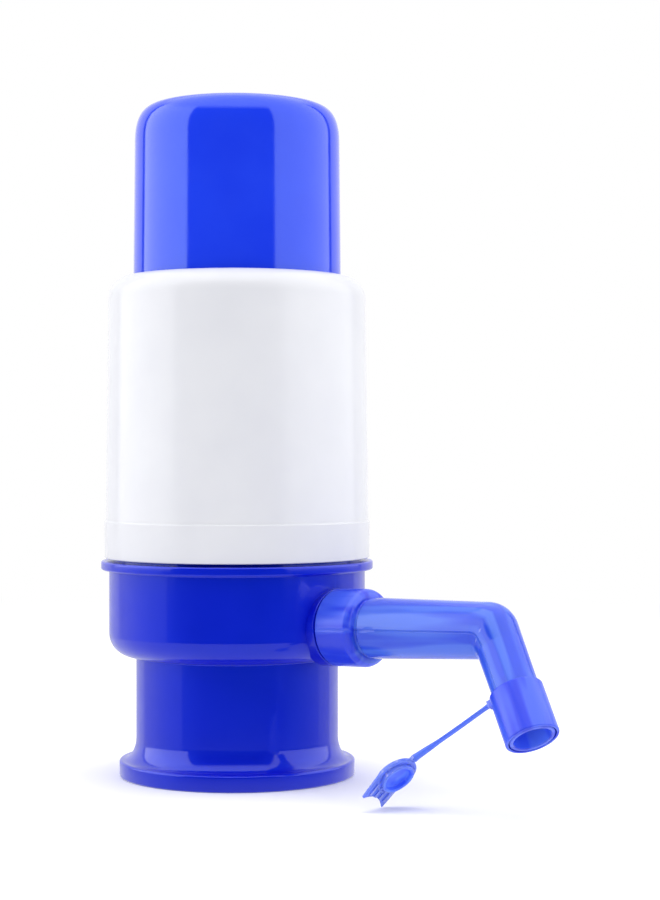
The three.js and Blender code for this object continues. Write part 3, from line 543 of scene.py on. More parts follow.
def moulded(name, colour, deep, edge_rub_and_glint, roughness, spread, grain, settings, painted_streaks=False):
    """A moulded material: a drift of colour, paler edges (rubbed in use, and on the clear cap
    painted glints), uneven gloss and fine grain.

    If asked, the colour runs in light and dark streaks along the mesh, placed by the mesh
    attribute of the same name as this option; the streaks are painted light and shade of
    refraction in the clear plastic.
    """
    material = bpy.data.materials.new(name)
    material.use_nodes = True
    tree = material.node_tree
    shader = tree.nodes["Principled BSDF"]
    for entry, value in settings.items():
        shader.inputs[entry].default_value = value
    place = add_node(tree, "ShaderNodeTexCoord")

    if painted_streaks:
        along = add_node(tree, "ShaderNodeAttribute")
        along.attribute_name = "painted_streaks"
        drift = add_noise(tree, along, "Vector", STREAK_SCALE, STREAK_DETAIL)
    else:
        drift = add_noise(tree, place, "Object", DRIFT_SCALE, DRIFT_DETAIL)
    tone = add_node(tree, "ShaderNodeValToRGB")
    level_shares = STREAK_SHARES if painted_streaks else DRIFT_SHARES
    for stop, share, shade in zip(tone.color_ramp.elements, level_shares, (deep, colour)):
        stop.position = share
        stop.color = shade
    link(tree, drift, "Fac", tone, "Fac")

    # Paler edges: rubbed in use, and on the clear cap painted glints
    shape = add_node(tree, "ShaderNodeNewGeometry")
    edge = add_range(tree, shape, "Pointiness", *EDGE_SHARES, 0, EDGE_PALE_SHARE)
    edge_rub_and_glint_mix = add_node(tree, "ShaderNodeMix")
    edge_rub_and_glint_mix.data_type = "RGBA"
    edge_rub_and_glint_mix.inputs[MIX_SECOND].default_value = edge_rub_and_glint
    link(tree, edge, "Result", edge_rub_and_glint_mix, "Factor")
    link(tree, tone, "Color", edge_rub_and_glint_mix, MIX_FIRST)
    link(tree, edge_rub_and_glint_mix, MIX_RESULT, shader, "Base Color")

    smear = add_noise(tree, place, "Object", SMEAR_SCALE, SMEAR_DETAIL)
    rough, smooth = roughness + spread, roughness - spread
    gloss = add_range(tree, smear, "Fac", *SMEAR_SHARES, smooth, rough)
    link(tree, gloss, "Result", shader, "Roughness")

    fine = add_noise(tree, place, "Object", GRAIN_SCALE, GRAIN_DETAIL)
    depth = {"Strength": grain, "Distance": GRAIN_DEPTH * UNIT}
    bump = add_node(tree, "ShaderNodeBump", depth)
    link(tree, fine, "Fac", bump, "Height")
    link(tree, bump, "Normal", shader, "Normal")
    return material


base_blue = moulded(
    "base_blue", linear(4, 10, 190), linear(1, 6, 184), linear(30, 50, 214),
    roughness=0.42, spread=0.04, grain=0.1,
    settings={
        "IOR": 1.5, "Specular IOR Level": 1, "Specular Tint": linear(50, 130, 255),
        "Coat Weight": 0.65, "Coat Roughness": 0.08,
    },
)
knob_blue = moulded(
    "knob_blue", linear(29, 62, 229), linear(24, 56, 225), linear(70, 100, 240),
    roughness=0.1, spread=0.02, grain=0.1,
    settings={"IOR": 1.5, "Specular IOR Level": 0.62, "Specular Tint": linear(225, 255, 255)},
)
shell_white = moulded(
    "shell_white", linear(219, 220, 225), linear(215, 216, 222), linear(230, 231, 235),
    roughness=0.22, spread=0.04, grain=0.15,
    settings={"IOR": 1.46, "Specular IOR Level": 0.4},
)
inner_white = moulded(
    "inner_white", linear(226, 228, 230), linear(218, 220, 224), linear(236, 237, 239),
    roughness=0.35, spread=0.05, grain=0.25, settings={"IOR": 1.46},
)
bellows_natural = moulded(
    "bellows_natural", linear(232, 234, 232), linear(224, 227, 226), linear(240, 241, 240),
    roughness=0.4, spread=0.06, grain=0.3,
    settings={
        "IOR": 1.5, "Subsurface Weight": 0.2, "Subsurface Scale": BELLOWS_GLOW_DEPTH * UNIT,
    },
)
silicone = moulded(
    "silicone", linear(208, 212, 214), linear(200, 205, 208), linear(222, 225, 226),
    roughness=0.5, spread=0.06, grain=0.35,
    settings={
        "IOR": 1.41, "Subsurface Weight": 0.15, "Subsurface Scale": SILICONE_GLOW_DEPTH * UNIT,
    },
)
spring_steel = moulded(
    "spring_steel", linear(190, 192, 196), linear(176, 179, 184), linear(214, 215, 218),
    roughness=0.24, spread=0.06, grain=0.3, settings={"Metallic": 1},
)


def clear_plastic(name, colour, deep, edge_rub_and_glint, roughness, transmission, painted_streaks=False):
    """Milky clear plastic that lets some light through, with painted refraction streaks if asked.
    """
    settings = {"IOR": CLEAR_IOR, "Transmission Weight": transmission}
    return moulded(
        name, colour, deep, edge_rub_and_glint, roughness, CLEAR_SPREAD, CLEAR_GRAIN, settings, painted_streaks,
    )


clear_blue = clear_plastic(
    "clear_blue", linear(94, 132, 252), linear(84, 122, 250), linear(124, 156, 254),
    roughness=0.14, transmission=0.3,
)
# The cap's near-white edge colour is painted glints along its edges
clear_thin = clear_plastic(
    "clear_thin", linear(122, 150, 252), linear(98, 128, 250), linear(222, 226, 255),
    roughness=0.14, transmission=0.3,
)
# Its light and dark streaks are painted refraction of the bore's edges
clear_streaked = clear_plastic(
    "clear_streaked", linear(86, 128, 246), linear(54, 90, 236), linear(186, 204, 255),
    roughness=0.14, transmission=0.3, painted_streaks=True,
)
clear_deep = clear_plastic(
    "clear_deep", linear(72, 102, 242), linear(38, 64, 228), linear(190, 206, 255),
    roughness=0.24, transmission=0.15, painted_streaks=True,
)
# Painted light: a bright opaque blue for the inner faces of the spout's leg, lighter than the
# little light inside them would make it; the cap's plug hollow takes it too
clear_bore = clear_plastic(
    "clear_bore", linear(92, 132, 255), linear(68, 104, 255), linear(120, 150, 255),
    roughness=0.3, transmission=0, painted_streaks=True,
)

CARRIED_OVER = {
    "valve_deck": inner_white,
    "clamp_ring": inner_white,
    "bellows_cap": inner_white,
    "deck_seal": silicone,
    "outlet_valve": silicone,
    "inlet_valve": silicone,
    "spout_seal": silicone,
}
for node_name, material in CARRIED_OVER.items():
    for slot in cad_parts[node_name].material_slots:
        slot.material = material


# Frames of the outlet, the turned spout, its leg, the ring and the strap

def turn(degrees, axis):
    """A turn about an axis through the origin."""
    return Matrix.Rotation(math.radians(degrees), 4, axis)


def shift(x, y, z):
    """A move along the three axes."""
    return Matrix.Translation((x, y, z))


outlet = shift(0, 0, ARM_HEIGHT) @ turn(-ARM_RISE, "Y")
spout_frame = outlet @ turn(-SPOUT_TURN, "X")
leg_frame = spout_frame @ shift(ELBOW_REACH, 0, 0) @ turn(ELBOW_BEND - 90, "Y")
ring_frame = leg_frame @ turn(RING_TURN, "Z")
along_x = turn(90, "Y")


def mark_streak_places(thing):
    """Marks where each point lies in the spout's section, and more slowly along its run, to place
    the painted refraction streaks.
    """
    to_arm = spout_frame.inverted()
    to_leg = leg_frame.inverted()
    values = []
    for vertex in thing.data.vertices:
        in_arm = to_arm @ (vertex.co / UNIT)
        in_leg = to_leg @ (vertex.co / UNIT)
        along = (in_arm.x - in_leg.z) / STREAK_STRETCH
        across = max(in_arm.z, in_leg.x)
        values += [(in_arm.y + STREAK_SHIFT) * UNIT, across * UNIT, along * UNIT]
    painted_streaks = thing.data.attributes.new("painted_streaks", "FLOAT_VECTOR", "POINT")
    painted_streaks.data.foreach_set("vector", values)


def rod(radius, start, end, steps=STEPS_SMALL, round_end=0):
    """A cylinder along the outlet's axis, with a rounded outer end if asked."""
    corners = [(0, start), (radius, start), (radius, end, round_end), (0, end)]
    outline = rounded(corners, closed=False)
    return moved(turned(outline, steps), outlet @ along_x)


def post(radius, low, high, steps=STEPS_SMALL):
    """An upright cylinder on the Z axis."""
    return turned([(0, low), (radius, low), (radius, high), (0, high)], steps)


# Base moulding

def spread_round(shape, count, place=Matrix()):
    """Copies of a shape about the Z axis, half a step off the X axis."""
    copies = []
    for i in range(count):
        angle = FULL_TURN * (i + 0.5) / count
        copies.append(moved(shape, turn(angle, "Z") @ place))
    return copies


def make_base():
    flare = FOOT_RADIUS - FOOT_LEDGE - NECK_RADIUS
    flare_top = FOOT_RIM + FLARE_HEIGHT
    corner_r = DRUM_RADIUS - DRUM_CORNER
    corner_z = NECK_HEIGHT + DRUM_CORNER
    floor_top = NECK_HEIGHT + DRUM_FLOOR
    chamber = DRUM_RADIUS - DRUM_WALL
    below = [
        (0, NECK_HEIGHT),
        (NECK_BORE, NECK_HEIGHT, SOFT_EDGE),
        (NECK_BORE, MOUTH_LEAD, SOFT_EDGE),
        (NECK_BORE + MOUTH_LEAD, 0, SOFT_EDGE),
        (FOOT_RADIUS, 0, FOOT_EDGE),
        (FOOT_RADIUS, FOOT_RIM, FOOT_EDGE),
        (FOOT_RADIUS - FOOT_LEDGE, FOOT_RIM),
    ]
    above = [
        (DRUM_RADIUS, corner_z),
        (DRUM_RADIUS, FLANGE_LOW, SOFT_EDGE),
        (FLANGE_RADIUS, FLANGE_LOW, FLANGE_EDGE),
        (FLANGE_RADIUS, FLANGE_TOP, FLANGE_EDGE),
        (SPIGOT_RADIUS, FLANGE_TOP),
        (SPIGOT_RADIUS, SPIGOT_TOP, SOFT_EDGE),
        (chamber, SPIGOT_TOP, SOFT_EDGE),
        (chamber, floor_top + DRUM_CHAMFER, SOFT_EDGE),
        (chamber - DRUM_CHAMFER, floor_top, SOFT_EDGE),
        (0, floor_top),
    ]
    outline = rounded(below, closed=False)
    outline += arc(NECK_RADIUS + flare, flare_top, flare, 270, 180, STEPS_FLARE, FLARE_HEIGHT)
    fillet_z = NECK_HEIGHT - SOFT_EDGE
    outline += [(NECK_RADIUS, fillet_z)]
    outline += arc(NECK_RADIUS + SOFT_EDGE, fillet_z, SOFT_EDGE, 180, 90, STEPS_NECK_FILLET)
    outline += arc(corner_r, corner_z, DRUM_CORNER, 270, 360, STEPS_DRUM_CORNER)
    outline += rounded(above, closed=False)[1:]
    base = solid("base_collar_fine", turned(outline))
    post_low = floor_top + DRUM_CHAMFER
    half = POST_WIDTH / 2
    wall_middle = chamber + DRUM_WALL / 2
    deck_post = block((chamber - POST_DEPTH, -half, post_low), (wall_middle, half, POST_TOP))
    tube_low = NECK_HEIGHT - TUBE_NIPPLE_LENGTH
    floor_middle = NECK_HEIGHT + DRUM_FLOOR / 2
    combine(
        base, "UNION",
        *spread_round(deck_post, POST_COUNT),
        post(RISER_RADIUS, floor_middle, ARM_HEIGHT + RISER_RADIUS),
        post(TUBE_NIPPLE_RADIUS, tube_low, floor_middle),
        rod(RISER_RADIUS, 0, DRUM_RADIUS),
        rod(BOSS_RADIUS, chamber, BOSS_END, STEPS_ROUND, BOSS_EDGE),
        rod(NIPPLE_RADIUS, chamber, NIPPLE_END, STEPS_SMALL, SOFT_EDGE),
    )
    groove = [
        (NIPPLE_RADIUS - GROOVE_DEPTH, GROOVE_START),
        (NIPPLE_RADIUS + OVERRUN, GROOVE_START),
        (NIPPLE_RADIUS + OVERRUN, GROOVE_START + GROOVE_WIDTH),
        (NIPPLE_RADIUS - GROOVE_DEPTH, GROOVE_START + GROOVE_WIDTH),
    ]
    vent = post(VENT_RADIUS, NECK_HEIGHT - OVERRUN, floor_top + OVERRUN, STEPS_VENT)
    combine(
        base, "DIFFERENCE",
        post(WATER_BORE, tube_low - OVERRUN, ARM_HEIGHT),
        rod(WATER_BORE, 0, NIPPLE_END),
        rod(NIPPLE_RADIUS - NIPPLE_WALL, BOSS_END, NIPPLE_END + OVERRUN),
        moved(turned(groove, STEPS_SMALL), outlet @ along_x),
        *spread_round(vent, VENT_COUNT, shift(VENT_CIRCLE, 0, 0)),
    )
    finish_piece(base, base_blue, "root", ["base_collar"])


def make_soft_ring(node, inner, outer, low):
    """A soft ring up to the drum's underside, its lower edges rounded."""
    corners = [(inner, low, SOFT_EDGE), (outer, low, SOFT_EDGE)]
    corners += [(outer, GASKET_TOP), (inner, GASKET_TOP)]
    ring = solid(f"{node}_fine", turned(rounded(corners)))
    finish_piece(ring, silicone, "root", [node])


make_base()
make_soft_ring("neck_gasket", GASKET_INNER, GASKET_OUTER, GASKET_LOW)
make_soft_ring("dip_tube_socket", SOCKET_INNER, SOCKET_OUTER, SOCKET_LOW)


# White cover

def make_cover():
    shoulder_z = COVER_TOP - COVER_ROUND
    shoulder_r = COVER_TOP_RADIUS - COVER_ROUND
    bore = COVER_LOW_RADIUS - COVER_WALL
    inside_round = COVER_ROUND - COVER_WALL
    outside = rounded([
        (bore, COVER_LOW),
        (BAND_FOOT_RADIUS, COVER_LOW, SOFT_EDGE),
        (BAND_RADIUS, BAND_TOP - BAND_LEDGE, BAND_EDGE),
        (COVER_LOW_RADIUS, BAND_TOP),
    ], closed=False)
    hole = rounded([
        (shoulder_r, COVER_TOP),
        (COVER_HOLE, COVER_TOP, COVER_HOLE_EDGE),
        (COVER_HOLE, COVER_TOP - COVER_WALL, COVER_HOLE_EDGE),
        (shoulder_r, COVER_TOP - COVER_WALL),
    ], closed=False)
    outline = outside
    outline += arc(shoulder_r, shoulder_z, COVER_ROUND, 0, 90, STEPS_COVER_OUTSIDE)
    outline += hole[1:-1]
    outline += arc(shoulder_r, shoulder_z, inside_round, 90, 0, STEPS_COVER_INSIDE)
    cover = solid("body_cover_fine", turned(outline))
    finish_piece(cover, shell_white, "root", ["body_cover"])


make_cover()


# Press knob

def make_knob():
    roof_r = KNOB_TOP_RADIUS - KNOB_SHOULDER_WIDE
    corner_z = KNOB_TOP - KNOB_CROWN - KNOB_SHOULDER_TALL
    roof_low = KNOB_TOP - KNOB_CROWN - KNOB_ROOF
    inside = KNOB_RADIUS - KNOB_WALL
    inside_wide = KNOB_SHOULDER_WIDE - KNOB_WALL
    inside_tall = KNOB_SHOULDER_TALL - KNOB_WALL
    curve = shoulder(roof_r, corner_z, inside_wide, inside_tall, STEPS_SHOULDER_INSIDE)
    inner_curve = [point for point in reversed(curve) if point[0] > RIB_OUTER]
    outline = [
        (0, roof_low),
        (RIB_INNER, roof_low),
        (RIB_INNER, RIB_LOW),
        (RIB_OUTER, RIB_LOW),
        (RIB_OUTER, inner_curve[0][1]),
        *inner_curve,
    ]
    outline += rounded([
        inner_curve[-1],
        (inside, KNOB_LOW, SOFT_EDGE),
        (KNOB_RADIUS, KNOB_LOW, SOFT_EDGE),
        (KNOB_RADIUS, STOP_LOW),
        (STOP_RADIUS, STOP_LOW, SOFT_EDGE),
        (STOP_RADIUS, STOP_TOP, SOFT_EDGE),
        (KNOB_RADIUS, STOP_TOP),
        (KNOB_RADIUS, COVER_TOP),
    ], closed=False)[1:]
    wide, tall = KNOB_SHOULDER_WIDE, KNOB_SHOULDER_TALL
    outline += shoulder(roof_r, corner_z, wide, tall, STEPS_SHOULDER_OUTSIDE)
    for i in range(1, STEPS_KNOB_ROOF):
        share = 1 - i / STEPS_KNOB_ROOF
        outline.append((roof_r * share, KNOB_TOP - KNOB_CROWN * share ** 2))
    outline.append((0, KNOB_TOP))
    knob = solid("press_knob_fine", turned(outline, STEPS_KNOB))
    finish_piece(knob, knob_blue, "knob", ["press_knob"])


make_knob()


# Bellows and return spring

def make_bellows():
    folds_top = BELLOWS_TOP - BELLOWS_COLLAR
    pitch = (folds_top - BELLOWS_FOOT_TOP) / BELLOWS_FOLDS
    outside = []
    for i in range(BELLOWS_FOLDS):
        low = BELLOWS_FOOT_TOP + i * pitch
        valley = SOFT_EDGE if i == 0 else BELLOWS_ROUND
        outside.append((BELLOWS_NECK, low, valley))
        outside.append((BELLOWS_RADIUS, low + pitch / 2, BELLOWS_ROUND))
    outside.append((BELLOWS_NECK, folds_top, BELLOWS_ROUND))
    inside = [(radius - BELLOWS_WALL, height, size) for radius, height, size in outside]
    corners = [
        (BELLOWS_NECK - BELLOWS_WALL, BELLOWS_LOW),
        (BELLOWS_FOOT_RADIUS, BELLOWS_LOW, SOFT_EDGE),
        (BELLOWS_FOOT_RADIUS, BELLOWS_FOOT_TOP, SOFT_EDGE),
        *outside,
        (BELLOWS_NECK, BELLOWS_TOP),
        (BELLOWS_NECK - BELLOWS_WALL, BELLOWS_TOP),
        *reversed(inside),
    ]
    bellows = solid("bellows_fine", turned(rounded(corners), STEPS_MEDIUM))
    finish_piece(bellows, bellows_natural, "root", ["bellows"], level=False)
    return bellows


def make_spring():
    rings = []
    steps = SPRING_TURNS * WIRE_STEPS
    for i in range(steps + 1):
        angle = math.radians(FULL_TURN * i / WIRE_STEPS)
        out = Vector((math.cos(angle), math.sin(angle), 0))
        middle = out * SPRING_RADIUS
        middle.z = SPRING_LOW + (SPRING_TOP - SPRING_LOW) * i / steps
        ring = []
        for side in range(WIRE_SIDES):
            around = math.radians(FULL_TURN * side / WIRE_SIDES)
            up = Vector((0, 0, math.sin(around)))
            ring.append(middle + (out * math.cos(around) + up) * WIRE_RADIUS)
        rings.append(ring)
    spring = solid("return_spring_fine", lofted(rings))
    finish_piece(spring, spring_steel, "root", ["return_spring"], level=False)
    return spring


for soft_piece in (make_bellows(), make_spring()):
    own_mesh(soft_piece)


# Spout

def spout_ring(middle, up, high, wide, depth=0):
    """A section of the spout, with a fine parting groove on both sides if it has a depth."""
    half = PARTING_WIDTH / 2 / wide
    floor = half * PARTING_FLOOR_SHARE
    room = half * PARTING_ROOM_SHARE
    sides = [math.radians(90 - SPOUT_TURN), math.radians(270 - SPOUT_TURN)]
    depths = {}
    for i in range(SPOUT_SIDES):
        angle = math.radians(FULL_TURN * i / SPOUT_SIDES)
        if min(abs(angle - side) for side in sides) > room:
            depths[angle] = 0
    for side in sides:
        depths.update({side - half: 0, side + half: 0})
        depths.update({side - floor: depth, side + floor: depth})
    ring = []
    for angle in sorted(depths):
        size = 1 - depths[angle] / wide
        point = middle + up * (high * size * math.cos(angle))
        point.y += wide * size * math.sin(angle)
        ring.append(point)
    return ring


def spout_skin(inset, depth):
    """Sections of the spout's outer or inner surface, from the arm's root to the mouth."""
    bend = math.radians(ELBOW_BEND)
    sin, cos = math.sin(bend), math.cos(bend)
    arm_r = ARM_END_RADIUS - inset
    leg_r = LEG_RADIUS - inset
    inner = ELBOW_INNER + inset
    outer = ELBOW_OUTER - inset
    leg_start = (arm_r + inner - (leg_r + inner) * cos) / sin
    pivot_x = ELBOW_REACH - (leg_r + inner) * sin + leg_start * cos
    pivot = Vector((pivot_x, 0, -(arm_r + inner)))
    arm_span = 2 * arm_r + inner
    leg_span = 2 * leg_r + inner
    round_up = arm_span - outer
    round_along = (leg_span - outer - round_up * cos) / sin
    first = math.atan2(round_along, arm_span)
    last = math.atan2(round_along + outer * sin, round_up + outer * cos)

    def span_at(angle):
        """How far the outer side lies from the pivot of the bend."""
        if angle < first:
            return arm_span / math.cos(angle)
        if angle > last:
            return leg_span / math.cos(bend - angle)
        across = round_up * math.cos(angle) + round_along * math.sin(angle)
        return across + math.sqrt(outer ** 2 - round_up ** 2 - round_along ** 2 + across ** 2)

    upright = Vector((0, 0, 1))
    start = BORE_END if inset else COLLAR_END + ROOT_GROOVE_WIDTH
    root_share = (start - COLLAR_END) / (pivot_x - COLLAR_END)
    rings = []
    for i in range(SPOUT_ARM_STEPS):
        share = root_share + (1 - root_share) * i / SPOUT_ARM_STEPS
        radius = ARM_RADIUS - inset + (arm_r - ARM_RADIUS + inset) * share
        middle = Vector((COLLAR_END + (pivot_x - COLLAR_END) * share, 0, 0))
        rings.append(spout_ring(middle, upright, radius, radius, depth))
    for i in range(SPOUT_BEND_STEPS + 1):
        angle = bend * i / SPOUT_BEND_STEPS
        up = Vector((math.sin(angle), 0, math.cos(angle)))
        span = span_at(angle)
        middle = pivot + up * ((span + inner) / 2)
        wide = arm_r + (leg_r - arm_r) * i / SPOUT_BEND_STEPS
        rings.append(spout_ring(middle, up, (span - inner) / 2, wide, depth))
    down = Vector((cos, 0, -sin))
    across = Vector((sin, 0, cos))
    leg_middle = pivot + across * ((leg_span + inner) / 2)
    tip = Vector((ELBOW_REACH, 0, 0)) + down * LEG_LENGTH
    for i in range(1, SPOUT_LEG_STEPS):
        share = i / SPOUT_LEG_STEPS
        radius = leg_r + (LEG_END_RADIUS - inset - leg_r) * share
        middle = leg_middle.lerp(tip, share)
        rings.append(spout_ring(middle, across, radius, radius, depth))
    radius = LEG_END_RADIUS - inset
    edge_radius = radius + (MOUTH_EDGE if inset else -MOUTH_EDGE)
    rings.append(spout_ring(tip - down * MOUTH_EDGE, across, radius, radius))
    rings.append(spout_ring(tip, across, edge_radius, edge_radius))
    return rings


def make_spout():
    upright = Vector((0, 0, 1))
    groove_radius = ARM_RADIUS - ROOT_GROOVE_DEPTH
    arm_start = COLLAR_END + ROOT_GROOVE_WIDTH
    collar = rounded([
        (COLLAR_START, COLLAR_BORE, COLLAR_EDGE / 2),
        (COLLAR_START, COLLAR_RADIUS, COLLAR_EDGE),
        (COLLAR_END, COLLAR_RADIUS, COLLAR_ROUND),
        (COLLAR_END, groove_radius, ROOT_GROOVE_ROUND),
        (COLLAR_END + ROOT_GROOVE_WIDTH / 2, groove_radius, ROOT_GROOVE_ROUND),
        (arm_start, ARM_RADIUS),
    ], closed=False)
    rings = []
    for x, radius in collar[:-1]:
        depth = PARTING_DEPTH if x > COLLAR_START + COLLAR_EDGE else 0
        rings.append(spout_ring(Vector((x, 0, 0)), upright, radius, radius, depth))
    rings += spout_skin(0, PARTING_DEPTH)
    rings += reversed(spout_skin(SPOUT_WALL, 0))
    rings.append(spout_ring(Vector((BORE_END, 0, 0)), upright, COLLAR_BORE, COLLAR_BORE))
    spout = solid("spout_fine", moved(lofted(rings, closed=True), spout_frame))
    finish_piece(spout, clear_streaked, "spout", ["spout"])
    mark_streak_places(spout)
    deep = add_slot(spout, clear_deep)
    bore = add_slot(spout, clear_bore)
    # Faces of the collar and the mouth take the deep colour; the leg's inner faces take the bore
    # colour, painted lighter than the light inside them would make them
    to_leg = leg_frame.inverted()
    for face in spout.data.polygons:
        in_leg = to_leg @ (face.center / UNIT)
        normal = to_leg.to_3x3() @ face.normal
        faces_in = normal.xy.dot(in_leg.xy) < 0
        if face.center.x < COLLAR_END * UNIT or in_leg.z < MOUTH_TONE - LEG_LENGTH:
            face.material_index = deep
        elif in_leg.z < -ARM_END_RADIUS and faces_in:
            face.material_index = bore


make_spout()


# Tether ring

def make_tether_ring():
    low = -LEG_LENGTH
    top = -RING_TOP
    sleeve = turned(rounded([
        (RING_BORE, top, RING_EDGE / 2),
        (RING_BORE, low, RING_EDGE / 2),
        (RING_RADIUS, low, RING_EDGE),
        (RING_RADIUS, top, RING_EDGE),
    ]), STEPS_MEDIUM)
    ring = solid("tether_ring_fine", moved(sleeve, ring_frame))
    reach = RING_RADIUS + LUG_REACH
    wall_middle = (RING_BORE + RING_RADIUS) / 2
    half = LUG_WIDTH / 2
    lug_top = top + LUG_RISE
    lug = block((-reach, -half, lug_top - LUG_LENGTH), (-wall_middle, half, lug_top))
    combine(ring, "UNION", moved(lug, ring_frame))
    soften(ring, LUG_EDGE)
    finish_piece(ring, clear_deep, "ring", ["tether_ring"])
    mark_streak_places(ring)


make_tether_ring()


# Strap, in four lengths that each bend at one joint and meet at the middles of the links

def strap_section(middle, ahead, width, thickness):
    """A flat section with round edges, square to the strap's run in the ring's XZ plane."""
    up = Vector((-ahead.z, 0, ahead.x))
    across = Vector((0, 1, 0))
    straight = (width - thickness) / 2
    ring = []
    for i in range(STRAP_SIDES):
        angle = math.radians(FULL_TURN * (i + 0.5) / STRAP_SIDES)
        side = math.copysign(straight, math.cos(angle))
        y = side + thickness / 2 * math.cos(angle)
        ring.append(middle + across * y + up * (thickness / 2 * math.sin(angle)))
    return ring


def slanted(degrees):
    """The strap's run where it slopes down by an angle, in the ring's frame."""
    angle = math.radians(degrees)
    return Vector((-math.cos(angle), 0, -math.sin(angle)))


def make_strap():
    """Makes the four lengths, and returns the frame of the cap at the end."""
    slopes = [STRAP_DROOP + STRAP_CURL * i for i in range(STRAP_LINKS)]
    slopes.append(slopes[-1] + CAP_DROOP)
    runs = [Vector((-1, 0, 0)), *(slanted(slope) for slope in slopes)]
    lug_z = -RING_TOP + LUG_RISE - LUG_LENGTH / 2
    joints = [Vector((-RING_RADIUS - LUG_REACH, 0, lug_z))]
    for run in runs[1:-1]:
        joints.append(joints[-1] + run * STRAP_PITCH)
    for i, joint in enumerate(joints):
        reach_back = STRAP_INSET if i == 0 else STRAP_PITCH / 2
        reach_on = STRAP_INSET if i == STRAP_LINKS else STRAP_PITCH / 2
        start = joint - runs[i] * reach_back
        end = joint + runs[i + 1] * reach_on
        rings = []
        for step in range(STRAP_STEPS + 1):
            share = step / STRAP_STEPS
            middle = start.lerp(joint, share).lerp(joint.lerp(end, share), share)
            ahead = ((joint - start) * (1 - share) + (end - joint) * share).normalized()
            along = i * STRAP_PITCH - reach_back + (reach_back + reach_on) * share
            left = STRAP_PITCH * STRAP_LINKS - along
            root_share = max(0, 1 - max(0, along) / STRAP_ROOT_LENGTH) ** 2
            foot_share = max(0, 1 - max(0, left) / STRAP_FOOT_LENGTH)
            widen_share = max(root_share, foot_share)
            width = STRAP_WIDTH + (STRAP_ROOT_WIDTH - STRAP_WIDTH) * widen_share
            thickness = STRAP_THICKNESS
            thickness += (STRAP_ROOT_THICKNESS - STRAP_THICKNESS) * root_share
            thickness += (STRAP_FOOT_THICKNESS - STRAP_THICKNESS) * foot_share
            rings.append(strap_section(middle, ahead, width, thickness))
        part = solid(f"strap_length_{i + 1}", moved(lofted(rings), ring_frame))
        nodes = [f"strap_link_{min(i + 1, STRAP_LINKS)}"]
        finish_piece(part, clear_blue, None, nodes, level=False)
        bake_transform(part)
    return ring_frame @ shift(*joints[-1]) @ turn(-slopes[-1], "Y")


cap_frame = make_strap()


# Dust cap: disc with a lip and a hollow plug, short neck, flared pull tab with grip lines

def make_dust_cap():
    half = CAP_THICKNESS / 2
    plug_low = -half - PLUG_HEIGHT
    plug_inner = PLUG_RADIUS - PLUG_WALL
    disc = turned(rounded([
        (0, -half),
        (plug_inner, -half, PLUG_LEAD),
        (plug_inner, plug_low, PLUG_LEAD),
        (PLUG_RADIUS, plug_low, PLUG_LEAD),
        (PLUG_RADIUS, -half, PLUG_LEAD / 2),
        (CAP_RADIUS - CAP_LIP_WIDTH, -half),
        (CAP_RADIUS - CAP_LIP_WIDTH, -half - CAP_LIP_RISE, CAP_LIP_RISE / 2),
        (CAP_RADIUS, -half - CAP_LIP_RISE, CAP_EDGE),
        (CAP_RADIUS, half, CAP_EDGE),
        (0, half),
    ], closed=False), STEPS_MEDIUM)
    cap = solid("dust_cap_fine", moved(disc, shift(-CAP_DISC_OFFSET, 0, 0)))
    tab_outline = [(-TAB_ROOT, -TAB_ROOT_WIDTH / 2), (-TAB_ROOT, TAB_ROOT_WIDTH / 2)]
    for i in range(TAB_STEPS + 1):
        across = 1 - 2 * i / TAB_STEPS
        hollow = TAB_HOLLOW * (1 - across ** 2)
        tab_outline.append((-TAB_END + hollow, across * TAB_END_WIDTH / 2))
    tab = solid("tab", prism(tab_outline, -half, half))
    soften(tab, TAB_EDGE)
    tab_points = [vertex.co / UNIT for vertex in tab.data.vertices]
    tab_faces = [tuple(face.vertices) for face in tab.data.polygons]
    bpy.data.objects.remove(tab)
    neck_end = CAP_DISC_OFFSET - CAP_RADIUS / 2
    neck_half = CAP_NECK_WIDTH / 2
    neck = block((-neck_end, -neck_half, -half), (-CAP_NECK_START, neck_half, half))
    grips = []
    for i in range(GRIP_COUNT):
        y = (i - (GRIP_COUNT - 1) / 2) * GRIP_PITCH
        low = (-GRIP_END, y - GRIP_WIDTH / 2, -half - GRIP_RISE)
        at_plug = CAP_DISC_OFFSET + math.sqrt(PLUG_RADIUS ** 2 - y ** 2) - GRIP_OVERLAP
        high = (-at_plug, y + GRIP_WIDTH / 2, 0)
        grips.append(block(low, high))
    combine(cap, "UNION", (tab_points, tab_faces), neck, *grips)
    for vertex in cap.data.vertices:
        place = vertex.co / UNIT
        beyond = max(0, -place.x - CAP_DISC_OFFSET)
        place.z -= TAB_BEND * beyond ** 2 / 2
        vertex.co = cap_frame @ place * UNIT
    finish_piece(cap, clear_thin, "cap", ["dust_cap"])
    mark_streak_places(cap)
    bore = add_slot(cap, clear_bore)
    to_cap = (cap_frame @ shift(-CAP_DISC_OFFSET, 0, 0)).inverted()
    for face in cap.data.polygons:
        place = to_cap @ (face.center / UNIT)
        if place.xy.length < PLUG_RADIUS - PLUG_LEAD and place.z < 0:
            face.material_index = bore


make_dust_cap()


# Camera, floor and light

EYE_AZIMUTH = 40
EYE_DISTANCE = 590
EYE_ASIDE = 27.5
EYE_HEIGHT = 96
FOCAL_LENGTH = 79.48
SENSOR = 36
WHITE = (1, 1, 1, 1)

# In metres
CLIP_RANGE = (0.01, 100)
FLOOR_RADIUS = 8
FLOOR_FADE = (0.12, 0.7)
SOFTBOX_DISTANCE = 1.1
SOFTBOX_TALL = 1.5
SOFTBOX_LOW = 0.02
TOP_SOFTBOX_SIDE = 1.4
TOP_SOFTBOX_HEIGHT = 1.3

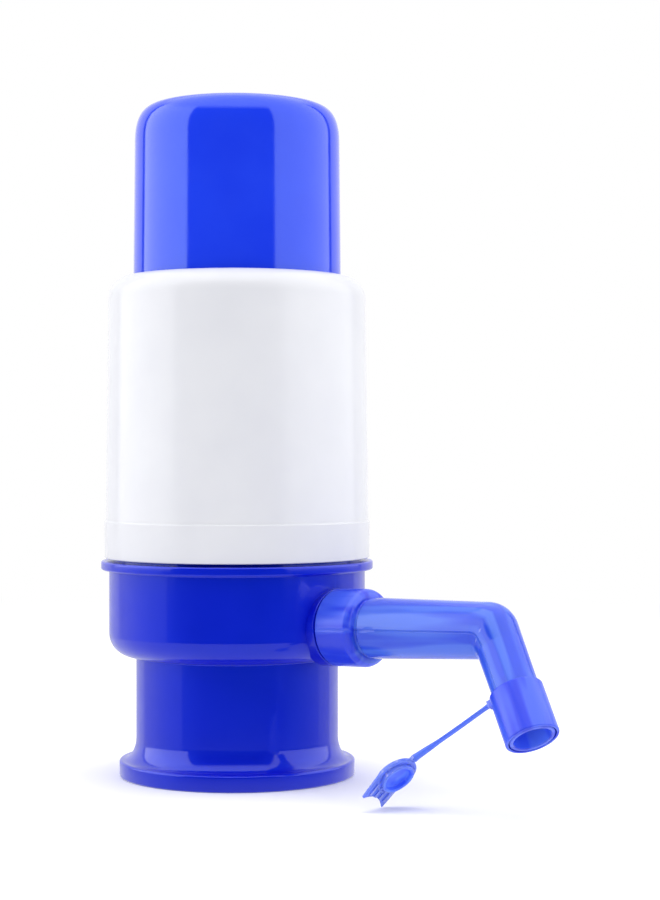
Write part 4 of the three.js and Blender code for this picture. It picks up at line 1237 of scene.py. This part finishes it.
FLOOR_COLOUR = (0.93, 0.93, 0.94, 1)
FLOOR_ROUGHNESS = 0.8
FLOOR_SIDES = 96

# Brightness, as (azimuth from the camera's side, width as an angle, radiance) for side lights
LEFT_SOFTBOX = (-88, 68, 0.27)
RIGHT_SOFTBOX = (85.5, 81, 0.22)
TOP_SOFTBOX_RADIANCE = 0.6
ROOM_STRENGTH = 0.64

# What gloss sees, as (first azimuth, last azimuth, brightness) from the photographer's side
TABLE_ZONES = [(-180, 180, 1)]
LOWER_ZONES = [
    (-180, -128.5, 0.85), (-128.5, -62, 0.42), (-62, 108, 0.01), (108, 131, 0.3),
    (131, 180, 0.85),
]
UPPER_ZONES = [
    (-180, -128.5, 1), (-128.5, -122.5, 0.12), (-122.5, -54, 2.7), (-54, 44.5, 0.02),
    (44.5, 126, 2), (126, 131, 0.12), (131, 180, 1),
]
CEILING_ZONES = [(-180, 180, 2)]
ZONE_EDGE = 0.2
ZONE_TOP = 3  # the most that a zone's brightness may be

# Sines of the elevation where one layer of the room goes over into the next
TABLE_EDGE = (-0.16, -0.152)
LIGHT_FOOT = (-0.06, -0.03)
CEILING_EDGE = (0.62, 0.76)


def make_camera():
    """A level camera at the photograph's angle, aimed a little beside the pump."""
    azimuth = math.radians(EYE_AZIMUTH)
    right = Vector((math.cos(azimuth), math.sin(azimuth), 0))
    back = Vector((math.sin(azimuth), -math.cos(azimuth), 0))
    data = bpy.data.cameras.new("photo_view")
    data.sensor_fit = "AUTO"
    data.sensor_width = SENSOR
    data.lens = FOCAL_LENGTH
    data.clip_start, data.clip_end = CLIP_RANGE
    camera = bpy.data.objects.new("photo_view", data)
    eye = back * EYE_DISTANCE + right * EYE_ASIDE + Vector((0, 0, EYE_HEIGHT))
    camera.location = eye * UNIT
    camera.rotation_euler = (math.radians(90), 0, azimuth)
    show(camera)
    bpy.context.scene.camera = camera


def mixed(tree, kind, share, output, first, second):
    """A mix of two outputs, given as (node, output), by the share that a node puts out."""
    mix = add_node(tree, kind)
    link(tree, share, output, mix, 0)
    link(tree, *first, mix, 1)
    link(tree, *second, mix, 2)
    return mix


def floor_material():
    """Pale and matt near the pump, fading to the white of the surroundings."""
    material = bpy.data.materials.new("floor_pale")
    material.use_nodes = True
    tree = material.node_tree
    shader = tree.nodes["Principled BSDF"]
    shader.inputs["Base Color"].default_value = FLOOR_COLOUR
    shader.inputs["Roughness"].default_value = FLOOR_ROUGHNESS
    place = add_node(tree, "ShaderNodeTexCoord")
    length = add_node(tree, "ShaderNodeVectorMath")
    length.operation = "LENGTH"
    link(tree, place, "Object", length, "Vector")
    fade = add_range(tree, length, "Value", *FLOOR_FADE)
    fade.interpolation_type = "SMOOTHSTEP"
    glow = add_node(tree, "ShaderNodeEmission", {"Color": WHITE})
    near, far = (shader, "BSDF"), (glow, "Emission")
    mix = mixed(tree, "ShaderNodeMixShader", fade, "Result", near, far)
    link(tree, mix, "Shader", tree.nodes["Material Output"], "Surface")
    return material


def make_floor():
    """A flat disc that gloss doesn't see, because the room stands for it there."""
    angles = [math.radians(FULL_TURN * i / FLOOR_SIDES) for i in range(FLOOR_SIDES)]
    rim = [(FLOOR_RADIUS * math.cos(a), FLOOR_RADIUS * math.sin(a), 0) for a in angles]
    mesh = bpy.data.meshes.new("floor")
    mesh.from_pydata([(0, 0, 0), *rim], [], joined(0, 1, 1, FLOOR_SIDES))
    mesh.materials.append(floor_material())
    floor = bpy.data.objects.new("floor", mesh)
    floor.visible_glossy = False
    show(floor)


def make_softbox(name, wide, tall, radiance):
    """A soft light of a width and a height in metres, which only matt surfaces see."""
    data = bpy.data.lights.new(name, "AREA")
    data.shape = "RECTANGLE"
    data.size = wide
    data.size_y = tall
    data.energy = radiance * 4 * math.pi * wide * tall
    lamp = bpy.data.objects.new(name, data)
    lamp.visible_camera = False
    lamp.visible_glossy = False
    show(lamp)
    return lamp


def make_side_softbox(name, azimuth, spread, radiance):
    """A tall soft light beside the pump, its middle at an azimuth from the camera's side."""
    wide = 2 * SOFTBOX_DISTANCE * math.tan(math.radians(spread / 2))
    lamp = make_softbox(name, wide, SOFTBOX_TALL, radiance)
    angle = math.radians(EYE_AZIMUTH - 90 + azimuth)
    middle = Vector((math.cos(angle), math.sin(angle), 0)) * SOFTBOX_DISTANCE
    middle.z = SOFTBOX_LOW + SOFTBOX_TALL / 2
    lamp.location = middle
    lamp.rotation_euler = (math.radians(90), 0, angle + math.radians(90))


def make_top_softbox():
    """A square soft light high above the pump, pointing straight down."""
    side = TOP_SOFTBOX_SIDE
    lamp = make_softbox("softbox_top", side, side, TOP_SOFTBOX_RADIANCE)
    lamp.location.z = TOP_SOFTBOX_HEIGHT


def add_zones(tree, turn_share, zones):
    """Brightness by azimuth, as a share of the most, with hard edges between zones."""
    ramp = add_node(tree, "ShaderNodeValToRGB")
    stops = []
    for first, last, value in zones:
        stops += [(first + ZONE_EDGE, value), (last - ZONE_EDGE, value)]
    for i, (azimuth, value) in enumerate(stops):
        place_share = (azimuth + FULL_TURN / 2) / FULL_TURN
        if i >= len(ramp.color_ramp.elements):
            ramp.color_ramp.elements.new(place_share)
        level_share = value / ZONE_TOP
        stop = ramp.color_ramp.elements[i]
        stop.position = place_share
        stop.color = (level_share, level_share, level_share, 1)
    link(tree, turn_share, "Value", ramp, "Fac")
    return ramp


def make_surroundings():
    """White all round; gloss sees tall side lights and a dark side at the photographer."""
    world = bpy.data.worlds.new("white_room")
    world.use_nodes = True
    world.cycles.sampling_method = "NONE"
    tree = world.node_tree

    # The direction, turned so that azimuth 0 is the camera's side
    place = add_node(tree, "ShaderNodeTexCoord")
    from_camera = {"Angle": math.radians(90 - EYE_AZIMUTH)}
    turned_room = add_node(tree, "ShaderNodeVectorRotate", from_camera)
    turned_room.rotation_type = "Z_AXIS"
    link(tree, place, "Generated", turned_room, "Vector")
    parts = add_node(tree, "ShaderNodeSeparateXYZ")
    link(tree, turned_room, "Vector", parts, "Vector")
    azimuth = add_node(tree, "ShaderNodeMath")
    azimuth.operation = "ARCTAN2"
    link(tree, parts, "Y", azimuth, 0)
    link(tree, parts, "X", azimuth, 1)
    turn_share = add_node(tree, "ShaderNodeMath", {1: 1 / (2 * math.pi), 2: 1 / 2})
    turn_share.operation = "MULTIPLY_ADD"
    link(tree, azimuth, "Value", turn_share, 0)

    # What gloss sees, layer over layer from the table up
    room = add_zones(tree, turn_share, TABLE_ZONES)
    layers = [(LOWER_ZONES, TABLE_EDGE), (UPPER_ZONES, LIGHT_FOOT), (CEILING_ZONES, CEILING_EDGE)]
    for zones, edge in layers:
        height = add_range(tree, parts, "Z", *edge)
        below, above = (room, "Color"), (add_zones(tree, turn_share, zones), "Color")
        room = mixed(tree, "ShaderNodeMixRGB", height, "Result", below, above)
    mirrored = add_node(tree, "ShaderNodeBackground", {"Strength": ZONE_TOP})
    link(tree, room, "Color", mirrored, "Color")

    # Matt surfaces see an even room, and the camera sees white
    even = tree.nodes["Background"]
    even.inputs["Color"].default_value = WHITE
    even.inputs["Strength"].default_value = ROOM_STRENGTH
    seen = add_node(tree, "ShaderNodeBackground", {"Color": WHITE})
    path = add_node(tree, "ShaderNodeLightPath")
    lit = (even, "Background")
    for test, other in (("Is Glossy Ray", mirrored), ("Is Camera Ray", seen)):
        mix = mixed(tree, "ShaderNodeMixShader", path, test, lit, (other, "Background"))
        lit = (mix, "Shader")
    link(tree, *lit, tree.nodes["World Output"], "Surface")
    bpy.context.scene.world = world


make_camera()
make_floor()
make_side_softbox("softbox_left", *LEFT_SOFTBOX)
make_side_softbox("softbox_right", *RIGHT_SOFTBOX)
make_top_softbox()
make_surroundings()
bpy.context.scene.view_settings.view_transform = "Standard"
